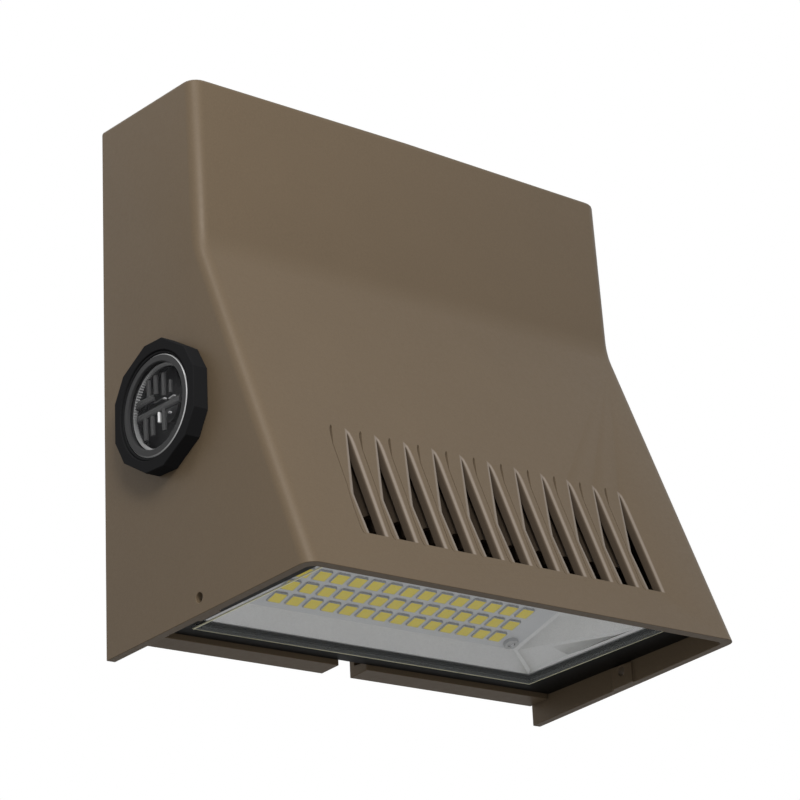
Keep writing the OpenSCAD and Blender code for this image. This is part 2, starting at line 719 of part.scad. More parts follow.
module heat_sink() {
    color("#8d8f90") from_mount() difference() {
        union() {
            sink_body();
            sink_fins();
            for (s = [-1, 1])
                block([s * ear_x - boss_r, ear_depth - ear_t, lens_z(ear_depth) + sink_bottom + over],
                      [s * ear_x + boss_r, ear_depth, ear_z + boss_r]);
            block([-lock_lug_w / 2, plate_t + plate_gap, lock_lug_height],
                  [lock_lug_w / 2, sink_rear + over, lock_lug_height + lock_lug_t]);
            translate([gland_x, -gland_depth, lens_z(gland_depth) + sink_bottom + sink_flange_t])
                cylinder(r = gland_r + gland_seat_w, h = gland_base - lens_z(gland_depth) - sink_bottom - sink_flange_t);
        }
        loft([chamber_ring(chamber_t, -mouth_lead_share), chamber_ring(chamber_t, 1)]);
        on_board_plane() translate([-board_w / 2 - board_edge - fit, -board_d - board_edge - fit, -over])
            cube([board_w + 2 * board_edge + 2 * fit, board_d + 2 * board_edge + 2 * fit, board_stack + over]);
        on_board_plane() board_screw_places() cylinder(r = board_screw_r + fit, h = board_stack + sink_top_t - over);
        for (s = [-1, 1])
            rod(s * ear_x, ear_z, screw_r + fit, ear_depth - ear_t - over, ear_depth + over);
        on_lens_plane() for (s = [-1, 1], d = frame_screw_depths)
            translate([s * frame_screw_x, -d, sink_bottom - over])
                cylinder(r = frame_screw_r + fit, h = sink_flange_t + 2 * over);
        translate([0, -lock_depth, lock_lug_height - over]) cylinder(r = lock_r + pin_fit, h = lock_lug_t + 2 * over);
        translate([gland_x, -gland_depth, board_z(gland_depth)])
            cylinder(r = gland_hole_r + fit, h = sink_lift + gland_base);
    }
}

module heat_sink_screws() {
    color("silver") from_mount() for (s = [-1, 1])
        translate([s * ear_x, -ear_depth + ear_t, ear_z]) rotate([-90, 0, 0])
            machine_screw(screw_r, ear_t + screw_grip - screw_end_gap, screw_head_r, screw_head_t, screw_r);
}

module thermal_pad() {
    color("#9aa3ad") from_mount() on_board_plane() difference() {
        translate([-board_w / 2 - board_edge, -board_d - board_edge, board_t])
            cube([board_w + 2 * board_edge, board_d + 2 * board_edge, pad_sheet_t]);
        board_screw_places() cylinder(r = board_screw_r + fit, h = board_stack + over);
    }
}

module led_board() {
    color("#dcdde0") from_mount() on_board_plane() difference() {
        translate([-board_w / 2 - board_edge, -board_d - board_edge, 0])
            cube([board_w + 2 * board_edge, board_d + 2 * board_edge, board_t]);
        translate([0, 0, -over]) board_screw_places() cylinder(r = board_screw_r + fit, h = board_stack + over);
    }
}

module leds() {
    color("#d8cf45") from_mount() on_board_plane()
        for (i = [0:led_cols - 1], j = [0:led_rows - 1])
            translate([(i - (led_cols - 1) / 2) * led_pitch_x - led_size / 2,
                       -board_d / 2 + (j - (led_rows - 1) / 2) * led_pitch_y - led_size / 2, -led_t])
                cube([led_size, led_size, led_t]);
}

module board_screws() {
    color("#9b9da0") from_mount() on_board_plane() board_screw_places() rotate([180, 0, 0])
        machine_screw(board_screw_r, board_stack + sink_top_t / 2, board_screw_head_r, board_screw_head_t,
                      board_screw_r);
}

// Lens
module glass_plan(e) {
    translate([-glass_w / 2 - e, -glass_front - e]) square([glass_w + 2 * e, glass_front - glass_rear + 2 * e]);
}

module glass_lens() {
    color("#dfe6e6", 0.4) from_mount() on_lens_plane() {
        translate([0, 0, -glass_proud]) linear_extrude(glass_proud + frame_lip_t + fit) glass_plan(0);
        translate([0, 0, frame_lip_t]) linear_extrude(glass_flange_t) glass_plan(glass_flange_w);
    }
}

seal_w = 2.8;
module lens_gasket() {
    rise = frame_lip_t + glass_flange_t;
    reach = outset(reflector_t + fit);
    color("#2a2a2a") from_mount() on_lens_plane() translate([0, 0, rise]) linear_extrude(frame_t - rise) difference() {
        glass_plan(glass_flange_w + seal_w / 2);
        translate([-reflector_w / 2 - reach[0], -reflector_front - reach[2]])
            square([reflector_w + 2 * reach[0], reflector_front - reflector_rear + reach[1] + reach[2]]);
    }
}

module lens_frame() {
    rise = frame_lip_t + glass_flange_t;
    color("#161616") from_mount() on_lens_plane() difference() {
        linear_extrude(frame_t) frame_plan(0, 0);
        translate([0, 0, -over]) linear_extrude(frame_t + 2 * over) glass_plan(glass_gap);
        translate([0, 0, frame_lip_t]) linear_extrude(frame_t) glass_plan(glass_flange_w + glass_gap);
        translate([0, 0, rise]) linear_extrude(frame_t) glass_plan(glass_flange_w + seal_w / 2 + glass_gap);
        for (s = [-1, 1], d = frame_screw_depths)
            translate([s * frame_screw_x, -d, frame_t - frame_screw_grip - fit])
                cylinder(r = frame_screw_r + fit, h = frame_screw_grip + over);
    }
}

module frame_screws() {
    color("silver") from_mount() on_lens_plane() for (s = [-1, 1], d = frame_screw_depths)
        translate([s * frame_screw_x, -d, frame_t + sink_flange_t])
            machine_screw(frame_screw_r, sink_flange_t + frame_screw_grip, frame_screw_head_r, frame_screw_head_t,
                          frame_screw_r);
}

// Driver
driver_rear = driver_front - driver_d;
module driver_case() {
    color("#3a3b3d") from_mount() difference() {
        union() {
            block([-driver_w / 2, driver_rear + driver_lid_t, driver_height - driver_h / 2],
                  [driver_w / 2, driver_front, driver_height + driver_h / 2]);
            block([-driver_w / 2 - driver_ear_w, driver_front - driver_ear_t, driver_height - boss_r - over],
                  [driver_w / 2 + driver_ear_w, driver_front, driver_height + boss_r + over]);
        }
        for (s = [-1, 1])
            rod(s * driver_boss_x, driver_height, screw_r + fit, driver_rear, driver_front + over);
        translate(led_lead_start) rotate([0, 90, 0]) cylinder(r = lead_r + lead_gap, h = socket_depth + over);
        translate(cell_lead_end) rotate([180, 0, 0]) cylinder(r = lead_r + lead_gap, h = socket_depth + over);
    }
}

module driver_lid() {
    color("#b9bbbd") from_mount() difference() {
        block([-driver_w / 2, driver_rear, driver_height - driver_h / 2],
              [driver_w / 2, driver_rear + driver_lid_t, driver_height + driver_h / 2]);
        for (x = [-1, 1], z = [-1, 1])
            rod(x * (driver_w / 2 - boss_r), driver_height + z * (driver_h / 2 - boss_r), frame_screw_r,
                driver_rear - over, driver_rear + driver_lid_t + over);
    }
}

module driver_screws() {
    color("silver") from_mount() for (s = [-1, 1])
        translate([s * driver_boss_x, -driver_front + driver_ear_t, driver_height]) rotate([-90, 0, 0])
            machine_screw(screw_r, driver_ear_t + driver_grip - screw_end_gap, screw_head_r, screw_head_t, screw_r);
}

// Leads: points [x, y, z], height above the lower rear corners
lead_r = 1.6;
lead_gap = 0.3;
lead_sides = 8;
lead_steps = 20;
socket_depth = 3;
cell_inner = wall + cell_gasket_t;
cell_length = cell_inner + cell_flange_t + cell_case_l;
cell_way = [cos(side_draft), sin(side_draft), 0];
led_lead_start = [driver_w / 2 - socket_depth, -driver_front + driver_d / 2, driver_height - driver_h / 4];
led_lead_end = [gland_x, -gland_depth, board_z(gland_depth) + fit * 2];
led_lead_tail = gland_base + gland_t + over - led_lead_end[2];
cell_lead_start = [-half_at(cell_depth), -cell_depth, cell_height] + cell_way * (cell_length - socket_depth);
cell_lead_end = [-driver_w / 3, -driver_front + driver_d / 2, driver_height - driver_h / 2 + socket_depth];

// Point and direction of a smooth curve that leaves a along u and reaches b along v
function curve(a, u, b, v, t) =
    a * pow(1 - t, 3) + (a + u) * 3 * t * pow(1 - t, 2) + (b - v) * 3 * t * t * (1 - t) + b * pow(t, 3);
function curve_dir(a, u, b, v, t) =
    let (w = u * pow(1 - t, 2) + (b - v - a - u) * 2 * t * (1 - t) + v * t * t) w / norm(w);
function tube_ring(p, w, side) =
    let (e = cross(w, side) / norm(cross(w, side)), f = cross(e, w))
    [for (i = [0:lead_sides - 1]) let (a = 360 * i / lead_sides) p + lead_r * (cos(a) * f + sin(a) * e)];

// A lead with a straight piece of length l at its start and m at its end
module lead(a, u, b, v, l, m) {
    head = a + l * u / norm(u);
    tail = b - m * v / norm(v);
    loft([tube_ring(a, u / norm(u), [0, 1, 0]),
          for (k = [0:lead_steps]) let (t = k / lead_steps)
              tube_ring(curve(head, u, tail, v, t), curve_dir(head, u, tail, v, t), [0, 1, 0]),
          tube_ring(b, v / norm(v), [0, 1, 0])]);
}

module led_lead() {
    color("#dadada") from_mount()
        lead(led_lead_start, [gland_x - led_lead_start[0] + boss_r * 3, 0, 0],
             led_lead_end, [0, 0, -driver_h], socket_depth, led_lead_tail);
}

module photocell_lead() {
    color("#26272a") from_mount()
        lead(cell_lead_start, cell_way * boss_r * 5, cell_lead_end, [0, 0, boss_r * 5], socket_depth, socket_depth);
}

module lead_gland() {
    color("#202124") from_mount() translate([gland_x, -gland_depth, gland_base - gland_t / 2]) difference() {
        union() {
            cylinder(r = gland_hole_r, h = gland_t);
            translate([0, 0, gland_t / 2]) cylinder(r = gland_r, h = gland_t, $fn = 6);
        }
        cylinder(r = lead_r + fit, h = gland_t * 2);
    }
}

// Photocell, drawn with z out of the side wall. The neck ends a recess short of the nut's face
cell_recess = 0.5;
cell_seat_w = 1;
cell_lens_step = 0.5;
cell_lens_rim_t = 1.2;
cell_lens_rise = 2.6;
cell_eye_r = 4.1;
cell_eye_h = 4;
cell_rim_z = nut_t - cell_recess;
module photocell_body() {
    color("#1c1c1d") from_mount() on_left_wall() difference() {
        union() {
            translate([0, 0, -cell_inner]) cylinder(r = neck_r, h = cell_inner + cell_rim_z);
            translate([0, 0, -cell_inner - cell_flange_t]) cylinder(r = cell_flange_r, h = cell_flange_t);
            translate([0, 0, -cell_inner - cell_flange_t - cell_case_l]) cylinder(r = cell_case_r, h = cell_case_l + over);
        }
        translate([0, 0, cell_rim_z - cell_lens_t]) cylinder(r = cell_lens_r + fit, h = cell_lens_t + over);
        translate([0, 0, -cell_inner]) cylinder(r = cell_lens_r - cell_seat_w, h = cell_inner + nut_t);
        translate([0, 0, -cell_inner - cell_flange_t - cell_case_l - over])
            cylinder(r = lead_r + lead_gap, h = socket_depth + over);
    }
}

module photocell_lens() {
    crown = cell_lens_r * 2;
    color("#cfd6d8", 0.5) from_mount() on_left_wall()
        translate([0, 0, cell_rim_z - cell_lens_t]) union() {
            cylinder(r = cell_lens_r, h = cell_lens_rim_t);
            intersection() {
                cylinder(r = cell_lens_r - cell_lens_step, h = crown);
                translate([0, 0, cell_lens_rise - crown]) sphere(r = crown);
            }
        }
}

module photocell_board() {
    color("#3b4043") from_mount() on_left_wall() translate([0, 0, -cell_inner]) union() {
        cylinder(r = cell_lens_r - cell_seat_w - fit, h = board_t);
        cylinder(r = cell_eye_r, h = cell_eye_h);
    }
}

module photocell_gasket() {
    color("#242424") from_mount() on_left_wall() translate([0, 0, -cell_inner]) difference() {
        cylinder(r = cell_flange_r, h = cell_gasket_t);
        translate([0, 0, -over]) cylinder(r = neck_r, h = cell_gasket_t + 2 * over);
    }
}

module photocell_nut() {
    color("#1a1a1b") from_mount() on_left_wall() difference() {
        linear_extrude(nut_t) polygon([for (k = [0:5], s = [-1, 1])
            [nut_r * cos(60 * k + s * nut_cut), nut_r * sin(60 * k + s * nut_cut)]]);
        translate([0, 0, -over]) cylinder(r = neck_r + fit / 2, h = nut_t + 2 * over);
    }
}

module lock_screw() {
    color("#2c2c2e") from_mount() translate([0, -lock_depth, lock_bottom]) difference() {
        cylinder(r = lock_r, h = lock_length);
        translate([0, 0, -over]) cylinder(r = lock_r / 2, h = over + lock_length / 3, $fn = 6);
    }
}

wall_plate();
wall_gasket();
wire_grommet();
ground_screw();
front_housing();
hinge_pins();
heat_sink();
heat_sink_screws();
thermal_pad();
led_board();
leds();
board_screws();
reflector();
glass_lens();
lens_gasket();
lens_frame();
frame_screws();
driver_case();
driver_lid();
driver_screws();
lead_gland();
led_lead();
photocell_body();
photocell_lens();
photocell_board();
photocell_gasket();
photocell_nut();
photocell_lead();
lock_screw();
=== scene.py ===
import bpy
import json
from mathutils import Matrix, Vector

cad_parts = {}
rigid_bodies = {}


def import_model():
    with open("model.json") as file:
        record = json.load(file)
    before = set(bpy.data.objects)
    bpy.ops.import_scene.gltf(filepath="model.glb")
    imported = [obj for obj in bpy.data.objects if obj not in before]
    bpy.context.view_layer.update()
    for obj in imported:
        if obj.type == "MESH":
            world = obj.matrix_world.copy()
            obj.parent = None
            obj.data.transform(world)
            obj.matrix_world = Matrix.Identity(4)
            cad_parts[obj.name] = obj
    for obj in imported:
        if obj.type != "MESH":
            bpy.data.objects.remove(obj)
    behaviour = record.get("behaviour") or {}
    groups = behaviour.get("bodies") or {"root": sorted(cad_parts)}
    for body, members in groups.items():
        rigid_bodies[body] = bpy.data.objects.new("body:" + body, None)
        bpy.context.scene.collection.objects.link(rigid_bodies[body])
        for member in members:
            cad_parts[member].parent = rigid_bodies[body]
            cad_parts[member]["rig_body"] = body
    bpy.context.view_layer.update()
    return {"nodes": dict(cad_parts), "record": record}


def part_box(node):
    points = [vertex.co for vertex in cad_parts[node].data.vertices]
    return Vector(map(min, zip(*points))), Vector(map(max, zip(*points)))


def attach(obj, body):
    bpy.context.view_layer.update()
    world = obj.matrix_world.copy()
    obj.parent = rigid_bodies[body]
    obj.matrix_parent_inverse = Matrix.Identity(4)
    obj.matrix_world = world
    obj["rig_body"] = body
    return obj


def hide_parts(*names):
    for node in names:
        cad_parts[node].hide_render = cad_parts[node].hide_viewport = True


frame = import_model()

import json
import math

import bmesh
import bpy
from bpy.props import FloatProperty, FloatVectorProperty, IntProperty, PointerProperty
from mathutils import Matrix, Vector

bl_info = {
    "name": "Wall Pack Light",
    "version": (1, 0, 0),
    "blender": (4, 5, 0),
    "location": "View3D > Sidebar > Wall Pack",
    "description": "Dresses the wall pack light's pieces and sets its studio",
    "category": "Object",
}

MM = 0.001


# ---------------------------------------------------------------- settings

def length(name, text, value, low=0.0, high=1.0):
    """A length in metres that a user may change."""
    return FloatProperty(name=name, description=text, default=value, min=low, max=high,
                         precision=5, unit="LENGTH")


def share(name, text, value):
    """A share between nothing and all."""
    return FloatProperty(name=name, description=text, default=value, min=0.0, max=1.0, subtype="FACTOR")


def tint(name, text, value):
    """A colour of a finish, in linear light."""
    return FloatVectorProperty(name=name, description=text, default=value, min=0.0, max=1.0,
                               size=3, subtype="COLOR")


def count(name, text, value):
    """A number of repeated pieces."""
    return IntProperty(name=name, description=text, default=value, min=1, max=400, subtype="UNSIGNED")


class FinishSettings(bpy.types.PropertyGroup):
    """Colours and grain of the finishes."""
    bronze: tint("Bronze coat", "Powder coat of housing and wall plate", (0.094, 0.068, 0.042))
    # Painted highlight: a lighter coat laid on the vents' rolled rims in place of the light that they catch
    worn: tint("Worn coat", "Thin coat on the vents' rolled rims", (0.175, 0.145, 0.118))
    # Painted shade: a dark coat in the vents' throats and grooves and on the heat sink, in place of the
    # shade there
    recess: tint("Recess coat", "Coat in the vents' throats and on the heat sink", (0.055, 0.040, 0.027))
    black: tint("Black coat", "Satin coat of the lens frame", (0.0035, 0.0033, 0.003))
    nut: tint("Black nylon", "Photocell nut and body", (0.011, 0.011, 0.0115))
    reflector: tint("Reflector sheet", "Satin sheet round the board", (0.80, 0.80, 0.80))
    board: tint("Board", "Solder resist of the LED board", (0.66, 0.67, 0.69))
    phosphor: tint("Phosphor", "Window of an LED that is off", (0.92, 0.74, 0.015))
    package: tint("Package", "Sides of an LED package", (0.42, 0.425, 0.44))
    steel: tint("Zinc plate", "Screws and hinge pins", (0.55, 0.55, 0.56))
    peel: length("Peel height", "Height of the powder coat's texture", 0.012 * MM)
    peel_size: length("Peel size", "Width of a grain in the powder coat", 0.55 * MM)


class EdgeSettings(bpy.types.PropertyGroup):
    """Rounding of the cast, pressed and moulded edges."""
    casting: length("Casting edge", "Edge radius of the die-cast pieces", 0.22 * MM)
    pressing: length("Pressed edge", "Edge radius of sheet and small pieces", 0.2 * MM)
    moulding: length("Moulded edge", "Edge radius of plastic pieces", 0.3 * MM)


class LedSettings(bpy.types.PropertyGroup):
    """The LED packages on the board."""
    columns: count("Columns", "LEDs across the board", 14)
    rows: count("Rows", "LEDs down the board", 3)
    pitch_across: length("Pitch across", "Spacing across the board", 7.04 * MM)
    pitch_down: length("Pitch down", "Spacing down the board", 7.4 * MM)
    size: length("Package size", "Side of a package", 5.0 * MM)
    height: length("Package height", "Thickness of a package", 0.68 * MM)
    window: share("Window share", "Share of a package's side that is phosphor", 0.95)
    bulge: length("Window bulge", "Rise of the phosphor in its middle", 0.1 * MM)
    tilt: FloatProperty(name="Board tilt", description="Tilt of the board towards the front",
                        default=math.radians(17.5), subtype="ANGLE")


class CellSettings(bpy.types.PropertyGroup):
    """The photocell's toothed window and the sensor behind it."""
    teeth: count("Teeth", "Teeth round the window's inner wall", 96)
    radius: length("Window radius", "Outer radius of the window", 16.35 * MM)
    flange: length("Flange width", "Width of the frosted flange round the window", 2.2 * MM)
    tooth: length("Tooth depth", "Length of a tooth along the window's axis", 1.3 * MM)
    bars: length("Bar width", "Width of the sensor's bars", 1.9 * MM)
    draft: FloatProperty(name="Wall taper", description="Turn of the side wall about the upright axis",
                         default=math.radians(1.7), subtype="ANGLE")


class StageSettings(bpy.types.PropertyGroup):
    """Camera, lamps and floor."""
    camera_place: FloatVectorProperty(name="Camera place", description="Where the camera stands",
                                      default=(-0.52462, -0.65604, -0.29294), subtype="TRANSLATION")
    camera_turn: FloatVectorProperty(name="Camera turn", description="Turn of the camera",
                                     default=(1.92844682, 0.04723393, -0.68735186), subtype="EULER")
    camera_lens: FloatProperty(name="Focal length", description="Focal length in millimetres",
                               default=118.04, min=10.0, max=400.0, unit="CAMERA")
    floor_drop: length("Floor drop", "How far the floor lies below the light", 1.6, 0.2, 5.0)
    front_power: FloatProperty(name="Front lamp", description="Power of the soft lamp at the front left",
                               default=4.9, min=0.0, unit="POWER")
    edge_power: FloatProperty(name="Edge lamp", description="Power of the small lamp that lights the edges",
                              default=1.8, min=0.0, unit="POWER")
    fill_power: FloatProperty(name="Fill lamp", description="Power of the lamp that lights the underside",
                              default=0.65, min=0.0, unit="POWER")
    world_level: FloatProperty(name="Surround", description="Level of the even light round the object",
                               default=0.43, min=0.0, max=2.0, subtype="FACTOR")


class WallPackSettings(bpy.types.PropertyGroup):
    """Everything that a user may change."""
    finish: PointerProperty(type=FinishSettings)
    edge: PointerProperty(type=EdgeSettings)
    led: PointerProperty(type=LedSettings)
    cell: PointerProperty(type=CellSettings)
    stage: PointerProperty(type=StageSettings)


def settings():
    """What the user has set."""
    return bpy.context.scene.wall_pack


# ---------------------------------------------------------------- node helpers

def add(tree, kind, inputs=None, **fields):
    """One node, with its fields set and its inputs linked or given a value."""
    made = tree.nodes.new(kind)
    for name, value in fields.items():
        setattr(made, name, value)
    for name, value in (inputs or {}).items():
        if isinstance(value, bpy.types.NodeSocket):
            tree.links.new(value, made.inputs[name])
        else:
            made.inputs[name].default_value = value
    return made


def sums(tree, operation, first, second=0.0):
    """The result of one Math node."""
    return add(tree, "ShaderNodeMath", {0: first, 1: second}, operation=operation).outputs[0]


def effect(name, inputs):
    """An empty shader group that puts out a colour, a roughness and a normal. Returns the group, the
    values that go in and the Object coordinates."""
    tree = bpy.data.node_groups.new(name, "ShaderNodeTree")
    for label, kind, value in inputs:
        tree.interface.new_socket(label, in_out="INPUT", socket_type=kind).default_value = value
    for label, kind in (("Colour", "NodeSocketColor"), ("Roughness", "NodeSocketFloat"),
                        ("Normal", "NodeSocketVector")):
        tree.interface.new_socket(label, in_out="OUTPUT", socket_type=kind)
    inside = tree.nodes.new("NodeGroupInput").outputs
    return tree, inside, add(tree, "ShaderNodeTexCoord").outputs["Object"]


def put_out(tree, inside, tone, grain, height, depth):
    """Links a group's results: the colour times tone, the roughness swung by grain, and a bump."""
    outlet = tree.nodes.new("NodeGroupOutput").inputs
    bump = add(tree, "ShaderNodeBump", {"Height": height, "Distance": depth, "Strength": 1.0})
    colour = add(tree, "ShaderNodeVectorMath", {0: inside["Colour"], "Scale": tone}, operation="SCALE")
    rough = sums(tree, "ADD", inside["Roughness"], swing(tree, grain, inside["Roughness Spread"]))
    tree.links.new(colour.outputs[0], outlet["Colour"])
    tree.links.new(rough, outlet["Roughness"])
    tree.links.new(bump.outputs[0], outlet["Normal"])
    return tree


def noise(tree, place, size, detail=2.0, roughness=0.5):
    """Noise whose grains are about as wide as size."""
    scale = sums(tree, "DIVIDE", 1.0, size) if isinstance(size, bpy.types.NodeSocket) else 1.0 / size
    return add(tree, "ShaderNodeTexNoise", {"Vector": place, "Scale": scale, "Detail": detail,
                                            "Roughness": roughness}).outputs[0]


def swing(tree, value, amount):
    """A swing of amount to either side as value goes from 0 to 1."""
    offset = sums(tree, "SUBTRACT", value, 0.5)
    return sums(tree, "MULTIPLY", offset, sums(tree, "MULTIPLY", amount, 2.0))


# How wide the cloudy patches of each effect are
COAT_CLOUD, CASTING_CLOUD, MOULDED_CLOUD = 22 * MM, 14 * MM, 9 * MM


def coat_effect():
    """Powder coat: a fine peel, a cloudy tone and small specks."""
    tree, inside, place = effect("Powder coat", [
        ("Colour", "NodeSocketColor", (0.1, 0.1, 0.1, 1.0)),
        ("Cloud", "NodeSocketFloat", 0.05), ("Speck", "NodeSocketFloat", 0.10),
        ("Grain Size", "NodeSocketFloat", 0.0005), ("Peel Height", "NodeSocketFloat", 0.00001),
        ("Roughness", "NodeSocketFloat", 0.5), ("Roughness Spread", "NodeSocketFloat", 0.06)])
    grain = noise(tree, place, inside["Grain Size"], 3.0, 0.6)
    peel = noise(tree, place, sums(tree, "MULTIPLY", inside["Grain Size"], 3.2), 1.0)
    cloud = noise(tree, place, COAT_CLOUD, 2.0)
    tone = sums(tree, "ADD", sums(tree, "ADD", swing(tree, cloud, inside["Cloud"]),
                                  swing(tree, grain, inside["Speck"])), 1.0)
    height = sums(tree, "ADD", sums(tree, "MULTIPLY", grain, 0.55), peel)
    return put_out(tree, inside, tone, peel, height, inside["Peel Height"])


def casting_effect():
    """Bare casting or grained sheet: crystals of different tone and a pitted skin."""
    tree, inside, place = effect("Metal grain", [
        ("Colour", "NodeSocketColor", (0.3, 0.3, 0.3, 1.0)),
        ("Sparkle", "NodeSocketFloat", 0.2), ("Grain Size", "NodeSocketFloat", 0.0005),
        ("Pit Depth", "NodeSocketFloat", 0.00001),
        ("Roughness", "NodeSocketFloat", 0.4), ("Roughness Spread", "NodeSocketFloat", 0.1)])
    scale = sums(tree, "DIVIDE", 1.0, inside["Grain Size"])
    crystal = add(tree, "ShaderNodeTexVoronoi", {"Vector": place, "Scale": scale})
    flake = add(tree, "ShaderNodeSeparateColor", {0: crystal.outputs["Color"]}).outputs[0]
    pit = noise(tree, place, sums(tree, "MULTIPLY", inside["Grain Size"], 1.6), 3.0)
    cloud = noise(tree, place, CASTING_CLOUD, 2.0)
    tone = sums(tree, "ADD", sums(tree, "ADD", swing(tree, flake, inside["Sparkle"]),
                                  swing(tree, cloud, 0.05)), 1.0)
    height = sums(tree, "ADD", pit, sums(tree, "MULTIPLY", flake, 0.4))
    return put_out(tree, inside, tone, flake, height, inside["Pit Depth"])


def drawn_effect():
    """Drawn or turned metal: long fine lines along one axis."""
    tree, inside, place = effect("Drawn lines", [
        ("Colour", "NodeSocketColor", (0.5, 0.5, 0.5, 1.0)),
        ("Stretch", "NodeSocketVector", (1.0, 30.0, 30.0)), ("Line Size", "NodeSocketFloat", 0.002),
        ("Line Depth", "NodeSocketFloat", 0.000003), ("Contrast", "NodeSocketFloat", 0.1),
        ("Roughness", "NodeSocketFloat", 0.3), ("Roughness Spread", "NodeSocketFloat", 0.06)])
    pulled = add(tree, "ShaderNodeVectorMath", {0: place, 1: inside["Stretch"]}, operation="MULTIPLY")
    line = noise(tree, pulled.outputs[0], inside["Line Size"], 2.0)
    tone = sums(tree, "ADD", swing(tree, line, inside["Contrast"]), 1.0)
    return put_out(tree, inside, tone, line, line, inside["Line Depth"])


def moulded_effect():
    """Moulded plastic, rubber or resist: a spark-eroded skin and a faint uneven tone."""
    tree, inside, place = effect("Moulded skin", [
        ("Colour", "NodeSocketColor", (0.02, 0.02, 0.02, 1.0)),
        ("Tone Spread", "NodeSocketFloat", 0.06), ("Grain Size", "NodeSocketFloat", 0.0003),
        ("Grain Height", "NodeSocketFloat", 0.000004),
        ("Roughness", "NodeSocketFloat", 0.5), ("Roughness Spread", "NodeSocketFloat", 0.05)])
    grain = noise(tree, place, inside["Grain Size"], 2.0)
    cloud = noise(tree, place, MOULDED_CLOUD, 3.0)
    tone = sums(tree, "ADD", swing(tree, cloud, inside["Tone Spread"]), 1.0)
    return put_out(tree, inside, tone, cloud, grain, inside["Grain Height"])


EFFECT_MAKERS = {"coat": coat_effect, "casting": casting_effect, "drawn": drawn_effect,
                 "moulded": moulded_effect}
EFFECTS = {}


def surface(name, kind, colour, group_values, **fixed):
    """A material whose colour, roughness and bump come from a shared effect, and whose constants
    stand on its own shader."""
    made = bpy.data.materials.new(name)
    made.use_nodes = True
    tree = made.node_tree
    shader = tree.nodes["Principled BSDF"]
    group = tree.nodes.new("ShaderNodeGroup")
    if kind not in EFFECTS:
        EFFECTS[kind] = EFFECT_MAKERS[kind]()
    group.node_tree = EFFECTS[kind]
    group.inputs["Colour"].default_value = (*colour, 1.0)
    for label, value in group_values.items():
        group.inputs[label].default_value = value
    tree.links.new(group.outputs["Colour"], shader.inputs["Base Color"])
    tree.links.new(group.outputs["Roughness"], shader.inputs["Roughness"])
    tree.links.new(group.outputs["Normal"], shader.inputs["Normal"])
    for label, value in fixed.items():
        shader.inputs[label.replace("_", " ")].default_value = value
    made.diffuse_color = (*colour, 1.0)
    return made


def powder_coat(name, colour, roughness, cloud, speck, peel_share=1.0, **fixed):
    """A powder coat with the set grain."""
    f = settings().finish
    return surface(name, "coat", colour, {
        "Peel Height": f.peel * peel_share, "Grain Size": f.peel_size, "Roughness": roughness,
        "Cloud": cloud, "Speck": speck}, **fixed)


THROAT_DULL = 0.45   # roughness that a throat has above the open face


def bronze_paint():
    """The bronze coat, with a painted highlight where the mesh's vent attribute is red and painted shade
    where it is green.
    """
    f = settings().finish
    made = powder_coat("bronze_paint", f.bronze, 0.46, 0.035, 0.14, Specular_IOR_Level=0.22,
                       Specular_Tint=(1.0, 0.9, 0.8, 1.0))
    tree = made.node_tree
    group = next(n for n in tree.nodes if n.type == "GROUP")
    vent = add(tree, "ShaderNodeAttribute", attribute_name="vent")
    part = add(tree, "ShaderNodeSeparateColor", {0: vent.outputs["Color"]}).outputs
    # Red mixes in a lighter coat that paints a highlight on the rims; green mixes in a dark coat that
    # paints shade in throats and grooves
    worn = add(tree, "ShaderNodeMix", {0: part[0], 6: (*f.bronze, 1.0), 7: (*f.worn, 1.0)},
               data_type="RGBA")
    deep = add(tree, "ShaderNodeMix", {0: part[1], 6: worn.outputs[2], 7: (*f.recess, 1.0)},
               data_type="RGBA")
    tree.links.new(deep.outputs[2], group.inputs["Colour"])
    dull = sums(tree, "ADD", group.outputs["Roughness"], sums(tree, "MULTIPLY", part[1], THROAT_DULL))
    tree.links.new(dull, tree.nodes["Principled BSDF"].inputs["Roughness"])
    return made


def inner_coat():
    """A dark coat on the heat sink that paints the shade inside the housing where it shows through the
    vents.
    """
    return powder_coat("inner_coat", settings().finish.recess, 0.6, 0.06, 0.2, Specular_IOR_Level=0.2)


def black_paint():
    """The satin black coat of the lens frame."""
    return powder_coat("black_paint", settings().finish.black, 0.42, 0.06, 0.2, 0.6,
                       Specular_IOR_Level=0.06)


def reflector_aluminium():
    """Satin sheet, grained by its rolling."""
    return surface("reflector_aluminium", "casting", settings().finish.reflector,
                   {"Sparkle": 0.05, "Grain Size": 0.35 * MM, "Pit Depth": 0.003 * MM, "Roughness": 0.34,
                    "Roughness Spread": 0.06}, Metallic=0.8)


def steel():
    """Bright zinc plate with fine turned lines."""
    return surface("steel", "drawn", settings().finish.steel,
                   {"Line Size": 1.5 * MM, "Contrast": 0.08, "Roughness": 0.32}, Metallic=1.0)


def lid_plate():
    """Brushed sheet on the driver."""
    return surface("lid_plate", "drawn", (0.45, 0.46, 0.47),
                   {"Line Size": 4 * MM, "Contrast": 0.07, "Roughness": 0.38}, Metallic=1.0)


def earth_green():
    """The green passivation of an earth screw."""
    return surface("earth_green", "coat", (0.035, 0.17, 0.04),
                   {"Peel Height": 0.004 * MM, "Grain Size": 0.3 * MM, "Roughness": 0.34}, Metallic=0.6)


def moulded(name, colour, roughness, size=0.3 * MM, height=0.004 * MM, **fixed):
    """Plastic, rubber, resist or glass, with a grain of this size and height."""
    return surface(name, "moulded", colour, {"Roughness": roughness, "Grain Size": size,
                                             "Grain Height": height}, **fixed)


